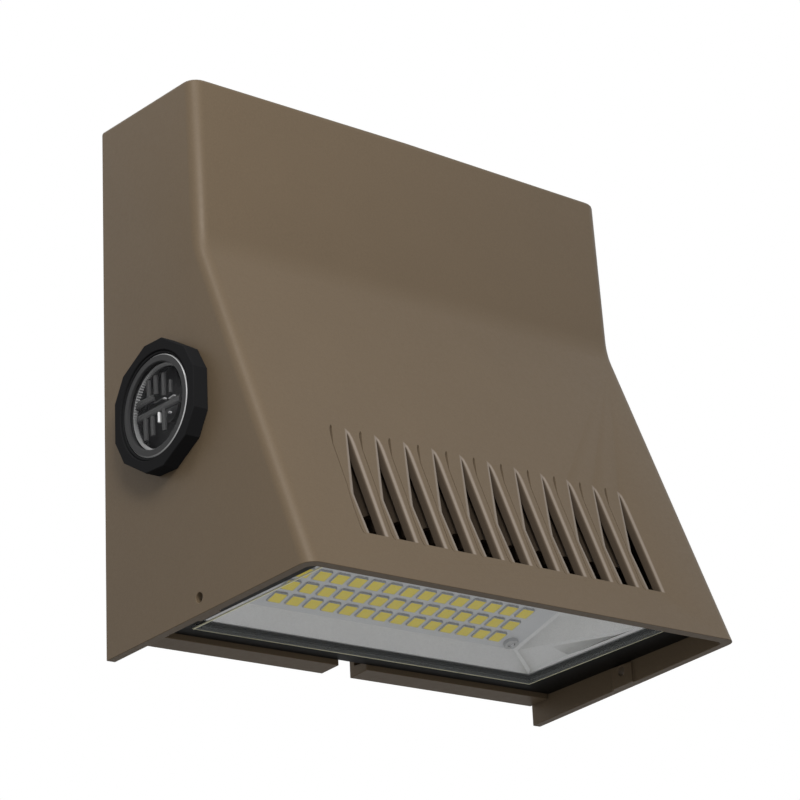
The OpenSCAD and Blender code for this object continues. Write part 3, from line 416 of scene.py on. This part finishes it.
def clear_glass():
    """The lens: a thin clear film that keeps its reflections, without bending what lies behind."""
    return moulded("clear_glass", (0.80, 0.84, 0.83), 0.03, 6 * MM, 0.001 * MM, Alpha=0.07, IOR=1.5)


def clear_plastic():
    """The photocell's smoky window."""
    return moulded("clear_plastic", (0.10, 0.10, 0.105), 0.08, 2 * MM, 0.002 * MM, Alpha=0.05, IOR=1.46,
                   Specular_IOR_Level=0.2)


def led_yellow():
    """Phosphor under a clear gel."""
    return moulded("led_yellow", settings().finish.phosphor, 0.34, Coat_Weight=0.3)


MAKERS = {maker.__name__: maker for maker in (
    bronze_paint, black_paint, inner_coat, reflector_aluminium, steel, lid_plate, earth_green,
    clear_glass, clear_plastic, led_yellow)}
# Plain moulded finishes: colour or the setting that holds it, roughness, specular level
MOULDED = {
    "black_rubber": ((0.006, 0.006, 0.006), 0.72, 0.06),
    "black_plastic": ("nut", 0.7, 0.02),
    "board_white": ("board", 0.4, 0.5),
    "led_package": ("package", 0.42, 0.5),
    "pad_grey": ((0.30, 0.33, 0.36), 0.7, 0.5),
    "driver_grey": ((0.045, 0.046, 0.05), 0.5, 0.5),
    # A pale yellow finish on the glass's rounded edges that paints the bright line of light along them
    "glass_edge": ((0.85, 0.82, 0.58), 0.25, 0.5),
    "sensor_board": ((0.0035, 0.0035, 0.004), 0.35, 0.5),
    "sensor_bar": ((0.036, 0.036, 0.036), 0.45, 0.2),
    "frosted_flange": ((0.022, 0.022, 0.0225), 0.45, 0.15),
    # A pale white that paints glints on the window's teeth, its chamfer and the sensor's small bars
    "prism_white": ((0.33, 0.33, 0.33), 0.3, 0.5),
    "lead_white": ((0.70, 0.70, 0.69), 0.4, 0.5),
    "lead_black": ((0.02, 0.02, 0.02), 0.4, 0.5),
}
FINISHES = {}


def finish(name):
    """The finish of this name, made once."""
    if name not in FINISHES:
        if name in MAKERS:
            FINISHES[name] = MAKERS[name]()
        else:
            colour, roughness, gloss = MOULDED[name]
            if isinstance(colour, str):
                colour = getattr(settings().finish, colour)
            FINISHES[name] = moulded(name, colour, roughness, Specular_IOR_Level=gloss)
    return FINISHES[name]


# ---------------------------------------------------------------- shape helpers

WELD = 1e6                        # CAD corners are one where they agree to a millionth of a metre
SAME_FLAT = math.radians(0.4)     # faces that turn less than this are one flat
BEVELLED = math.radians(32)       # edges that turn more than this are rounded
CREASE = math.radians(28)         # edges that turn more than this are shaded sharp


def joined_mesh(node, name, spared=None, flats_whole=True):
    """A merged copy of a CAD node's mesh with its flat faces whole again. Edges get the bevel's
    weight where they are sharp, unless spared says that their middle is in a finer part."""
    source = frame["nodes"][node].data
    numbers, places, faces, order = {}, [], [], []
    for vertex in source.vertices:
        key = tuple(round(c * WELD) for c in vertex.co)
        if key not in numbers:
            numbers[key] = len(places)
            places.append(tuple(vertex.co))
        order.append(numbers[key])
    for face in source.polygons:
        corners = [order[v] for v in face.vertices]
        if len(set(corners)) == len(corners):
            faces.append(corners)
    mesh = bpy.data.meshes.new(name)
    mesh.from_pydata(places, [], faces)
    shape = bmesh.new()
    shape.from_mesh(mesh)
    if flats_whole:
        bmesh.ops.dissolve_limit(shape, angle_limit=SAME_FLAT, verts=shape.verts, edges=shape.edges)
    weight = shape.edges.layers.float.new("bevel_weight_edge")
    for edge in shape.edges:
        if len(edge.link_faces) == 2 and edge.calc_face_angle() > BEVELLED:
            middle = (edge.verts[0].co + edge.verts[1].co) / 2
            edge[weight] = 0.0 if spared and spared(middle) else 1.0
    shape.to_mesh(mesh)
    shape.free()
    mesh.shade_smooth()
    mesh.set_sharp_from_angle(angle=CREASE)
    return mesh


def placed(mesh, name, body, slot_name, *nodes):
    """A finished piece that rides on its body and stands for its CAD nodes."""
    piece = bpy.data.objects.new(name, mesh)
    bpy.context.scene.collection.objects.link(piece)
    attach(piece, body)
    if nodes:
        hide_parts(*nodes)
    return piece


def body_of(node):
    """The body that a CAD node rides on."""
    return frame["nodes"][node]["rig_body"]


def slot_of(node):
    """The material slot that the record gives a CAD node."""
    return next(p["material_slot"] for p in frame["record"]["subparts"] if p["node"] == node)


def ladder(steps, value):
    """The value on a line through steps, held level beyond its ends."""
    for (a, start), (b, end) in zip(steps, steps[1:]):
        if value <= b:
            return start + (end - start) * max(value - a, 0.0) / (b - a)
    return steps[-1][1]


# How strong the painted highlight on a rolled rim is, and how dark the painted shade in the throat behind
# it and the groove beside it, by depth under the sloped face in mm
RIM_HIGHLIGHT = ((0.0, 0.25), (0.09, 1.0), (0.35, 0.9), (0.74, 0.2))
THROAT_SHADE = ((0.09, 0.0), (0.35, 0.1), (0.74, 0.8), (1.2, 1.0))
GROOVE_SHADE = ((0.04, 0.1), (0.3, 0.7), (0.9, 0.8))
ALONG_SLOPE = 0.998               # a face whose normal agrees this well with the slope's lies in it
VENT_DEPTH = 3.5                  # no face of a vent reaches deeper, in mm
THROAT_DEPTH = 1.3                # and only a throat's faces reach deeper than this
FACES_DOWN = 0.7                  # a vent's flat lower end has no rolled rim


def mark_vents(mesh, near_vents):
    """Marks the vents' rolled rims in red for a painted highlight, and their throats and grooves in green
    for painted shade.
    """
    shape = bmesh.new()
    shape.from_mesh(mesh)
    mark = shape.loops.layers.float_color.new("vent")
    slope = max((f for f in shape.faces if f.normal.y < -0.3 and f.normal.z > 0.2),
                key=lambda f: f.calc_area())
    out, foot = slope.normal.copy(), slope.verts[0].co.copy()

    def depth(vertex):
        return (foot - vertex.co).dot(out) / MM

    def deepest(face):
        return max(depth(v) for v in face.verts)

    def in_vent(face):
        return (abs(face.normal.dot(out)) < ALONG_SLOPE and deepest(face) < VENT_DEPTH
                and near_vents(face.calc_center_median()))

    waiting = [f for f in shape.faces if in_vent(f) and deepest(f) > THROAT_DEPTH]
    found = set(waiting)
    while waiting:
        for edge in waiting.pop().edges:
            fresh = [f for f in edge.link_faces if f not in found and in_vent(f)]
            found.update(fresh)
            waiting.extend(fresh)
    down = out.cross(Vector((1, 0, 0)))
    # Grooves get painted shade; rims get a painted highlight and throats get painted shade
    for face in shape.faces:
        groove = face not in found and in_vent(face)
        for loop in face.loops:
            loop[mark] = (0.0, ladder(GROOVE_SHADE, depth(loop.vert)) if groove else 0.0, 0.0, 1.0)
    for face in found:
        rolled = 0.0 if abs(face.normal.dot(down)) > FACES_DOWN else 1.0
        for loop in face.loops:
            here = depth(loop.vert)
            loop[mark] = (ladder(RIM_HIGHLIGHT, here) * rolled, ladder(THROAT_SHADE, here), 0.0, 1.0)
    for edge in slope.edges:
        if near_vents((edge.verts[0].co + edge.verts[1].co) / 2):
            edge.smooth = False
    shape.to_mesh(mesh)
    shape.free()


def dress(node, edge, material=None, segments=2, spared=None, edge_glint_finish=None):
    """A CAD node's own shape with rounded edges and its finish, and, if given, a second finish on those
    edges that paints a glint there.
    """
    mesh = joined_mesh(node, node + "_skin", spared, flats_whole=edge > 0)
    mesh.materials.append(finish(material or slot_of(node)))
    piece = placed(mesh, node + "_skin", body_of(node), slot_of(node), node)
    if edge > 0:
        bevel = piece.modifiers.new("Rounded edges", "BEVEL")
        bevel.width = edge
        bevel.segments = segments
        bevel.limit_method = "WEIGHT"
        bevel.use_clamp_overlap = False
        bevel.harden_normals = True
        bevel.miter_outer = "MITER_ARC"
        if edge_glint_finish:
            mesh.materials.append(finish(edge_glint_finish))
            bevel.material = 1
    return piece


def tree_ids(tree):
    """Each input's name with its identifier."""
    return {s.name: s.identifier for s in tree.interface.items_tree
            if s.item_type == "SOCKET" and s.in_out == "INPUT"}


def plain_mesh(tree, values, name, place):
    """The mesh that a Geometry Nodes tree makes with these values, moved to its place."""
    holder = bpy.data.objects.new(name + "_source", bpy.data.meshes.new(name + "_source"))
    bpy.context.scene.collection.objects.link(holder)
    maker = holder.modifiers.new("Shape", "NODES")
    maker.node_group = tree
    ids = tree_ids(tree)
    for label, value in values.items():
        maker[ids[label]] = value
    graph = bpy.context.evaluated_depsgraph_get()
    mesh = bpy.data.meshes.new_from_object(holder.evaluated_get(graph))
    holder.modifiers.remove(maker)
    bpy.data.objects.remove(holder)
    mesh.name = name
    mesh.transform(place)
    return mesh


def shape_tree(name, inputs):
    """An empty geometry tree with named inputs, and its inlet and outlet."""
    tree = bpy.data.node_groups.new(name, "GeometryNodeTree")
    for label, kind, value in inputs:
        socket = tree.interface.new_socket(label, in_out="INPUT", socket_type=kind)
        if value is not None:
            socket.default_value = value
    tree.interface.new_socket("Geometry", in_out="OUTPUT", socket_type="NodeSocketGeometry")
    return tree, tree.nodes.new("NodeGroupInput"), tree.nodes.new("NodeGroupOutput")


def vector(tree, x=0.0, y=0.0, z=0.0):
    """A vector from three values."""
    return add(tree, "ShaderNodeCombineXYZ", {0: x, 1: y, 2: z}).outputs[0]


def tagged(tree, geometry, number):
    """geometry with a number on its faces that picks its finish."""
    return add(tree, "GeometryNodeStoreNamedAttribute",
               {"Geometry": geometry, "Name": "finish", "Value": number},
               data_type="INT", domain="FACE").outputs[0]


def finished(tree, geometry, materials):
    """geometry with instances made real, and the finish that each face's number asks for."""
    made = add(tree, "GeometryNodeRealizeInstances", {"Geometry": geometry}).outputs[0]
    number = add(tree, "GeometryNodeInputNamedAttribute", {"Name": "finish"}, data_type="INT").outputs[0]
    for k, material in enumerate(materials):
        same = add(tree, "FunctionNodeCompare", {2: number, 3: k}, data_type="INT", operation="EQUAL")
        made = add(tree, "GeometryNodeSetMaterial", {"Geometry": made, "Selection": same.outputs[0],
                                                     "Material": material}).outputs[0]
    return made


# ---------------------------------------------------------------- LED packages

# An LED's tabs, as shares of the package's size or height
TAB_WIDTH, TAB_REACH, TAB_STEP, TAB_HEIGHT, TAB_LIFT = 0.2, 1.14, 0.32, 0.3, 0.35
TABS = 3
DOME_CORNERS = 9    # along a window's side
DOME_POWER = 4.0    # the higher, the squarer the dome's foot


def led_tree():
    """A grid of packages, each with a body, a domed window and three tabs that show on both sides."""
    tree, inlet, outlet = shape_tree("LED packages", [
        ("Columns", "NodeSocketInt", 14), ("Rows", "NodeSocketInt", 3),
        ("Pitch Across", "NodeSocketFloat", 0.007), ("Pitch Down", "NodeSocketFloat", 0.007),
        ("Size", "NodeSocketFloat", 0.005), ("Height", "NodeSocketFloat", 0.0006),
        ("Window Share", "NodeSocketFloat", 0.76), ("Bulge", "NodeSocketFloat", 0.0001),
        ("Package Finish", "NodeSocketMaterial", None), ("Window Finish", "NodeSocketMaterial", None),
        ("Tab Finish", "NodeSocketMaterial", None)])
    i = inlet.outputs

    def of_size(part):
        return sums(tree, "MULTIPLY", i["Size"], part)

    def of_height(part):
        return sums(tree, "MULTIPLY", i["Height"], part)

    across = sums(tree, "MULTIPLY", sums(tree, "SUBTRACT", i["Columns"], 1.0), i["Pitch Across"])
    down = sums(tree, "MULTIPLY", sums(tree, "SUBTRACT", i["Rows"], 1.0), i["Pitch Down"])
    grid = add(tree, "GeometryNodeMeshGrid", {
        "Size X": across, "Size Y": down, "Vertices X": i["Columns"], "Vertices Y": i["Rows"]}).outputs[0]
    body = add(tree, "GeometryNodeMeshCube",
               {"Size": vector(tree, i["Size"], i["Size"], i["Height"])}).outputs[0]
    window = of_size(i["Window Share"])
    slab = add(tree, "GeometryNodeMeshCube", {
        "Size": vector(tree, window, window, i["Height"]), "Vertices X": DOME_CORNERS,
        "Vertices Y": DOME_CORNERS, "Vertices Z": 2}).outputs[0]
    position = add(tree, "GeometryNodeInputPosition").outputs[0]
    spot = add(tree, "ShaderNodeSeparateXYZ", {0: position}).outputs
    half = sums(tree, "MULTIPLY", window, 0.5)
    falls = []
    for axis in (0, 1):
        part = sums(tree, "ABSOLUTE", sums(tree, "DIVIDE", spot[axis], half))
        falls.append(sums(tree, "SUBTRACT", 1.0, sums(tree, "POWER", part, DOME_POWER)))
    dome = sums(tree, "MULTIPLY", i["Bulge"], sums(tree, "MULTIPLY", falls[0], falls[1]))
    under = sums(tree, "LESS_THAN", spot[2], 0.0)
    slab = add(tree, "GeometryNodeSetPosition", {
        "Geometry": slab, "Selection": under,
        "Offset": vector(tree, 0.0, 0.0, sums(tree, "MULTIPLY", dome, -1.0))}).outputs[0]
    tab_size = vector(tree, of_size(TAB_WIDTH), of_size(TAB_REACH), of_height(TAB_HEIGHT))
    tab = add(tree, "GeometryNodeMeshCube", {"Size": tab_size}).outputs[0]
    row = add(tree, "GeometryNodeMeshLine", {
        "Count": TABS, "Start Location": vector(tree, of_size(-TAB_STEP), 0.0, of_height(TAB_LIFT)),
        "Offset": vector(tree, of_size(TAB_STEP))}).outputs[0]
    tabs = add(tree, "GeometryNodeInstanceOnPoints", {"Points": row, "Instance": tab}).outputs[0]
    tabs = add(tree, "GeometryNodeRealizeInstances", {"Geometry": tabs}).outputs[0]
    joined = add(tree, "GeometryNodeJoinGeometry")
    for k, piece in enumerate((body, slab, tabs)):
        tree.links.new(tagged(tree, piece, k), joined.inputs[0])
    laid = add(tree, "GeometryNodeInstanceOnPoints", {"Points": grid, "Instance": joined.outputs[0]})
    made = finished(tree, laid.outputs[0], (i["Package Finish"], i["Window Finish"], i["Tab Finish"]))
    tree.links.new(made, outlet.inputs[0])
    return tree


# ---------------------------------------------------------------- photocell window

TOOTH_SHARE = 0.58   # a tooth's radius as a share of its pitch


def teeth_tree():
    """Three-sided teeth round the inside of a wall, each with an edge towards the middle."""
    tree, inlet, outlet = shape_tree("Window teeth", [
        ("Teeth", "NodeSocketInt", 96), ("Wall Radius", "NodeSocketFloat", 0.014),
        ("Tooth Depth", "NodeSocketFloat", 0.002), ("Tooth Finish", "NodeSocketMaterial", None)])
    i = inlet.outputs
    girth = sums(tree, "DIVIDE", sums(tree, "MULTIPLY", i["Wall Radius"], math.tau), i["Teeth"])
    reach = sums(tree, "MULTIPLY", girth, TOOTH_SHARE)
    radius = sums(tree, "SUBTRACT", i["Wall Radius"], sums(tree, "MULTIPLY", reach, 0.5))
    ring = add(tree, "GeometryNodeMeshCircle", {"Vertices": i["Teeth"], "Radius": radius}).outputs[0]
    tooth = add(tree, "GeometryNodeMeshCylinder", {"Vertices": 3, "Radius": reach,
                                                   "Depth": i["Tooth Depth"]}).outputs[0]
    position = add(tree, "GeometryNodeInputPosition").outputs[0]
    inwards = add(tree, "ShaderNodeVectorMath", {0: position, "Scale": -1.0}, operation="SCALE").outputs[0]
    turn = add(tree, "FunctionNodeAlignRotationToVector", {"Vector": inwards}, axis="X").outputs[0]
    teeth = add(tree, "GeometryNodeInstanceOnPoints", {"Points": ring, "Instance": tagged(tree, tooth, 0),
                                                       "Rotation": turn}).outputs[0]
    tree.links.new(finished(tree, teeth, (i["Tooth Finish"],)), outlet.inputs[0])
    return tree


def turned(name, profile, materials, place, steps=96):
    """A shape turned from a profile of radius and height in mm, and the finish of the next band."""
    shape = bmesh.new()
    rings = []
    for radius, height, _ in profile:
        turns = [math.tau * k / steps for k in range(steps if radius else 1)]
        rings.append([shape.verts.new((radius * MM * math.cos(turn), radius * MM * math.sin(turn),
                                       height * MM)) for turn in turns])
    for (_, _, number), one, two in zip(profile, rings, rings[1:]):
        for k in range(steps):
            n = (k + 1) % steps
            corners = [one[k % len(one)], one[n % len(one)], two[n % len(two)], two[k % len(two)]]
            face = shape.faces.new(list(dict.fromkeys(corners)))
            face.material_index = number
    bmesh.ops.recalc_face_normals(shape, faces=shape.faces)
    mesh = bpy.data.meshes.new(name)
    shape.to_mesh(mesh)
    shape.free()
    for material in materials:
        mesh.materials.append(finish(material))
    mesh.transform(place)
    mesh.shade_smooth()
    mesh.set_sharp_from_angle(angle=CREASE)
    return mesh


def bar(shape, start, end, width, low, high, number):
    """One bar with a bevelled back between two points, each to the front and up, in mm."""
    a, b = (Vector((p[1], -p[0], 0)) * MM for p in (start, end))
    run = (b - a).normalized()
    side = Vector((-run.y, run.x, 0)) * width / 2
    shoulder = high + (low - high) * BAR_SHOULDER
    outline = ((1, low), (1, shoulder), (0.5, high), (-0.5, high), (-1, shoulder), (-1, low))
    rows = [[shape.verts.new(point + side * s + Vector((0, 0, h))) for s, h in outline]
            for point in (a, b)]
    n = len(rows[0])
    faces = [shape.faces.new((rows[0][k], rows[0][(k + 1) % n], rows[1][(k + 1) % n], rows[1][k]))
             for k in range(n)]
    faces += [shape.faces.new(list(reversed(rows[0]))), shape.faces.new(rows[1])]
    for face in faces:
        face.material_index = number


# The window's turned profile from its centre: radius, height over its seat, finish of the next band; finish
# 2 is a pale white band on the outer chamfer that paints a bright arc of highlight
WINDOW = (
    (0, 2.55, 0), (4, 2.44, 0), (8, 2.1, 0), (11, 1.7, 0), (13.8, 1.25, 1),
    (13.95, 1.85, 1), (14.2, 2.02, 1), (16.0, 1.95, 2), (16.35, 1.55, 1), (16.35, 0.05, 1),
    (14.7, 0.05, 1), (14.6, -2.6, 1), (13.95, -2.6, 1), (13.95, 0.05, 0), (0, 0.35, 0))
WINDOW_FINISHES = ("clear_plastic", "frosted_flange", "prism_white")
# The sensor's bars: start and end, each to the front and up of the middle, width share and finish; finish 1
# is a pale white that paints small glints
BARS = (
    ((-15.2, 4.1), (-4, 4.3), 1.15, 0), ((-12.4, -0.5), (9.4, -0.1), 1.15, 0),
    ((-6.6, 5), (-6.8, 10.8), 0.8, 0), ((-3, 5), (-3.1, 11.3), 0.85, 0),
    ((1, 3.4), (1.1, 10.8), 0.8, 0), ((4.6, 3.4), (4.7, 7.4), 0.6, 0),
    ((-8.6, -1), (-8.4, -8.6), 0.9, 0), ((-5, -1.6), (-4.8, -8), 0.8, 0),
    ((1, -1), (1.1, -8), 0.8, 0), ((-1.2, -1.5), (-1.2, -4.8), 0.45, 1),
    ((4.4, 1.3), (6.8, 1.7), 0.22, 1), ((1.4, 2.2), (2, 2.3), 0.3, 1),
    ((4, -3.2), (4.6, -3), 0.3, 1), ((-3.4, 2.2), (0.8, 2.4), 0.3, 0))
BAR_FINISHES = ("sensor_bar", "prism_white")
BAR_LOW, BAR_HIGH = -1.1 * MM, -0.2 * MM   # under the window's seat
# The white bars paint glints
RAISED = 0.15 * MM                         # how much higher the white bars are
BAR_SHOULDER = 0.3                         # share of a bar's height that its bevels take


# ---------------------------------------------------------------- pieces

# The vents' part of the housing, as shares of its half width and depth
VENTS_WIDE, VENTS_FRONT, VENTS_REAR = 0.77, 0.98, 0.66
LENS_FACE = (-74.18 * MM, -0.041)   # the glass's lower face: height at the wall, rise over depth
FACE_SLACK = 0.3 * MM               # how far off it a place still counts as on it
CHAMBER = (-70 * MM, -50 * MM)      # the LED chamber's lowest and highest place
CHAMBER_WALL = (-0.95, -0.3)        # the upright part of its sloping walls' normals


class WALLPACK_OT_housing(bpy.types.Operator):
    """Dress the die-cast housing with its louvred vents"""
    bl_idname = "wallpack.housing"
    bl_label = "Housing"

    def execute(self, context):
        low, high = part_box("front_housing")

        def near_vents(place):
            return (abs(place.x) < high.x * VENTS_WIDE
                    and low.y * VENTS_FRONT < place.y < low.y * VENTS_REAR)

        piece = dress("front_housing", settings().edge.casting, spared=near_vents)
        # Paints a highlight on the vents' rims and shade in their throats and grooves
        mark_vents(piece.data, near_vents)
        return {"FINISHED"}


class WALLPACK_OT_wall_side(bpy.types.Operator):
    """Dress the wall plate, its gasket and grommet"""
    bl_idname = "wallpack.wall_side"
    bl_label = "Wall side"

    def execute(self, context):
        edge = settings().edge
        dress("wall_plate", edge.casting)
        dress("wall_gasket", edge.moulding)
        dress("wire_grommet", edge.moulding)
        return {"FINISHED"}


def off_lens_face(place):
    """Whether a place is off the lens's tilted lower face."""
    return place.z - LENS_FACE[1] * place.y > LENS_FACE[0] + FACE_SLACK


def bare_chamber(sink):
    """Bare metal on the chamber's sloping walls, which show through the reflector's creases."""
    sink.data.materials.append(finish("reflector_aluminium"))
    for face in sink.data.polygons:
        if (CHAMBER_WALL[0] < face.normal.z < CHAMBER_WALL[1]
                and CHAMBER[0] < face.center.z < CHAMBER[1]):
            face.material_index = 1


class WALLPACK_OT_lens(bpy.types.Operator):
    """Dress the glass, its gasket and the black frame"""
    bl_idname = "wallpack.lens"
    bl_label = "Lens and frame"

    def execute(self, context):
        edge = settings().edge
        # The glass's rounded edges take a pale finish that paints a glint along them
        dress("glass_lens", edge.pressing * 2, spared=off_lens_face, edge_glint_finish="glass_edge")
        dress("lens_gasket", 0)
        dress("lens_frame", edge.pressing)
        return {"FINISHED"}


class WALLPACK_OT_led_engine(bpy.types.Operator):
    """Make the LED packages and dress the board, reflector and heat sink"""
    bl_idname = "wallpack.led_engine"
    bl_label = "LED engine"

    def execute(self, context):
        edge, led = settings().edge, settings().led
        # The heat sink takes the dark coat that paints the shade inside the housing; the chamber walls stay
        # bare metal
        bare_chamber(dress("heat_sink", 0, "inner_coat"))
        dress("thermal_pad", 0)
        dress("led_board", edge.pressing)
        dress("reflector", 0)
        low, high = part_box("leds")
        values = {"Columns": led.columns, "Rows": led.rows, "Pitch Across": led.pitch_across,
                  "Pitch Down": led.pitch_down, "Size": led.size, "Height": led.height,
                  "Window Share": led.window, "Bulge": led.bulge, "Package Finish": finish("led_package"),
                  "Window Finish": finish("led_yellow"), "Tab Finish": finish("steel")}
        middle = (low + high) / 2
        place = Matrix.Translation(middle) @ Matrix.Rotation(-led.tilt, 4, "X")
        mesh = plain_mesh(led_tree(), values, "led_packages", place)
        placed(mesh, "led_packages", body_of("leds"), "led_yellow", "leds")
        return {"FINISHED"}


class WALLPACK_OT_photocell(bpy.types.Operator):
    """Make the ribbed window and sensor, and dress the photocell's nut and case"""
    bl_idname = "wallpack.photocell"
    bl_label = "Photocell"

    def execute(self, context):
        edge, cell = settings().edge, settings().cell
        dress("photocell_nut", edge.moulding, segments=3)
        dress("photocell_body", edge.moulding)
        dress("photocell_gasket", 0)
        dress("photocell_board", 0)
        low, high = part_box("photocell_lens")
        body = body_of("photocell_lens")
        seat = (low + high) / 2
        seat.x = high.x - cell.radius * math.sin(cell.draft)
        outwards = Matrix.Rotation(cell.draft, 4, "Z") @ Matrix.Rotation(-math.pi / 2, 4, "Y")
        place = Matrix.Translation(seat) @ outwards
        window = turned("photocell_window", WINDOW, WINDOW_FINISHES, place)
        placed(window, "photocell_window", body, "clear_plastic", "photocell_lens")
        wall = cell.radius - cell.flange - 0.2 * MM
        # The teeth take a pale white finish that paints their glints
        values = {"Teeth": cell.teeth, "Wall Radius": wall, "Tooth Depth": cell.tooth,
                  "Tooth Finish": finish("prism_white")}
        sunk = Matrix.Translation((0, 0, -cell.tooth / 2))
        teeth = plain_mesh(teeth_tree(), values, "window_teeth", place @ sunk)
        placed(teeth, "window_teeth", body, "clear_plastic")
        shape = bmesh.new()
        for start, end, share_of_width, number in BARS:
            top = BAR_HIGH + (RAISED if number else 0.0)
            bar(shape, start, end, cell.bars * share_of_width, BAR_LOW, top, number)
        bmesh.ops.recalc_face_normals(shape, faces=shape.faces)
        bars = bpy.data.meshes.new("sensor_bars")
        shape.to_mesh(bars)
        shape.free()
        for name in BAR_FINISHES:
            bars.materials.append(finish(name))
        bars.transform(place)
        placed(bars, "sensor_bars", body, slot_of("photocell_board"))
        return {"FINISHED"}


class WALLPACK_OT_fasteners(bpy.types.Operator):
    """Dress the screws and hinge pins"""
    bl_idname = "wallpack.fasteners"
    bl_label = "Screws and pins"

    def execute(self, context):
        edge = settings().edge
        for node in ("ground_screw", "hinge_pins", "heat_sink_screws", "board_screws", "frame_screws",
                     "driver_screws", "lock_screw"):
            dress(node, edge.pressing)
        return {"FINISHED"}


class WALLPACK_OT_driver(bpy.types.Operator):
    """Dress the driver and the leads"""
    bl_idname = "wallpack.driver"
    bl_label = "Driver and leads"

    def execute(self, context):
        edge = settings().edge
        dress("driver_case", edge.moulding)
        dress("driver_lid", edge.pressing)
        dress("lead_gland", edge.moulding)
        dress("led_lead", 0)
        dress("photocell_lead", 0)
        return {"FINISHED"}


# ---------------------------------------------------------------- stage

FLOOR_REACH = 6.0   # half the floor's side
SENSOR = 36.0       # the camera's sensor width in millimetres
# Lamps: name, place, the place that it points at, and size; the stage's settings hold their power
LAMPS = (("front", (-0.375, -0.60, 0.27), (0, -0.05, 0.02), (0.2, 0.25)),
         ("fill", (-0.55, -0.50, -0.40), (-0.02, -0.06, -0.04), (0.3, 0.3)),
         ("edge", (-0.50, -0.34, 0.70), (-0.05, -0.06, 0), (0.15, 0.2)))


def lamp(name, place, aim, size, power):
    """A large soft lamp that points at a place."""
    data = bpy.data.lights.new(name, "AREA")
    data.shape = "RECTANGLE"
    data.size, data.size_y = size
    data.energy = power
    made = bpy.data.objects.new(name, data)
    bpy.context.scene.collection.objects.link(made)
    made.location = place
    made.visible_camera = False
    made.rotation_euler = (Vector(aim) - Vector(place)).to_track_quat("-Z", "Y").to_euler()


class WALLPACK_OT_stage(bpy.types.Operator):
    """Set the camera, the lamps, the pale floor and the white surround"""
    bl_idname = "wallpack.stage"
    bl_label = "Stage"

    def execute(self, context):
        scene, s = context.scene, settings().stage
        camera_data = bpy.data.cameras.new("camera")
        camera_data.lens = s.camera_lens
        camera_data.sensor_width = SENSOR
        camera_data.clip_start, camera_data.clip_end = 0.01, 50.0
        camera = bpy.data.objects.new("camera", camera_data)
        scene.collection.objects.link(camera)
        camera.location = s.camera_place
        camera.rotation_euler = s.camera_turn
        scene.camera = camera

        for name, place, aim, size in LAMPS:
            lamp(name + "_lamp", place, aim, size, getattr(s, name + "_power"))

        mesh = bpy.data.meshes.new("floor")
        corners = [(x * FLOOR_REACH, y * FLOOR_REACH, -s.floor_drop)
                   for x, y in ((-1, -1), (1, -1), (1, 1), (-1, 1))]
        mesh.from_pydata(corners, [], [(0, 1, 2, 3)])
        mesh.materials.append(moulded("pale_floor", (0.8, 0.8, 0.8), 0.9, 5 * MM, 0.02 * MM))
        floor = bpy.data.objects.new("floor", mesh)
        scene.collection.objects.link(floor)

        world = bpy.data.worlds.new("surround")
        scene.world = world
        world.use_nodes = True
        tree = world.node_tree
        tree.nodes.clear()
        path = add(tree, "ShaderNodeLightPath").outputs
        mirrored = sums(tree, "MAXIMUM", path["Is Glossy Ray"], path["Is Transmission Ray"])
        seen = sums(tree, "MAXIMUM", path["Is Camera Ray"], mirrored)
        level = add(tree, "ShaderNodeMix", {0: seen, 2: s.world_level, 3: 1.0}, data_type="FLOAT")
        back = add(tree, "ShaderNodeBackground", {"Color": (1.0, 1.0, 1.0, 1.0),
                                                  "Strength": level.outputs[0]})
        add(tree, "ShaderNodeOutputWorld", {"Surface": back.outputs[0]})
        scene.view_settings.view_transform = "Standard"
        return {"FINISHED"}


STEPS = ("stage", "housing", "wall_side", "lens", "led_engine", "photocell", "fasteners", "driver")


class WALLPACK_PT_panel(bpy.types.Panel):
    """Lists the steps that build the wall pack light"""
    bl_idname = "WALLPACK_PT_panel"
    bl_label = "Wall Pack Light"
    bl_space_type = "VIEW_3D"
    bl_region_type = "UI"
    bl_category = "Wall Pack"

    def draw(self, context):
        for step in STEPS:
            self.layout.operator("wallpack." + step)
        for part in ("finish", "edge", "led", "cell", "stage"):
            box = self.layout.box()
            group = getattr(context.scene.wall_pack, part)
            box.label(text=part.capitalize())
            for name in group.__annotations__:
                box.prop(group, name)


CLASSES = (FinishSettings, EdgeSettings, LedSettings, CellSettings, StageSettings, WallPackSettings,
           WALLPACK_OT_stage, WALLPACK_OT_housing, WALLPACK_OT_wall_side, WALLPACK_OT_lens,
           WALLPACK_OT_led_engine, WALLPACK_OT_photocell, WALLPACK_OT_fasteners, WALLPACK_OT_driver,
           WALLPACK_PT_panel)


def register():
    """Makes the settings, steps and panel known to Blender."""
    for item in CLASSES:
        bpy.utils.register_class(item)
    bpy.types.Scene.wall_pack = PointerProperty(type=WallPackSettings)


def unregister():
    """Takes them back."""
    del bpy.types.Scene.wall_pack
    for item in reversed(CLASSES):
        bpy.utils.unregister_class(item)


def main():
    """Runs every step."""
    register()
    for step in STEPS:
        getattr(bpy.ops.wallpack, step)()


if __name__ == "__main__":
    main()
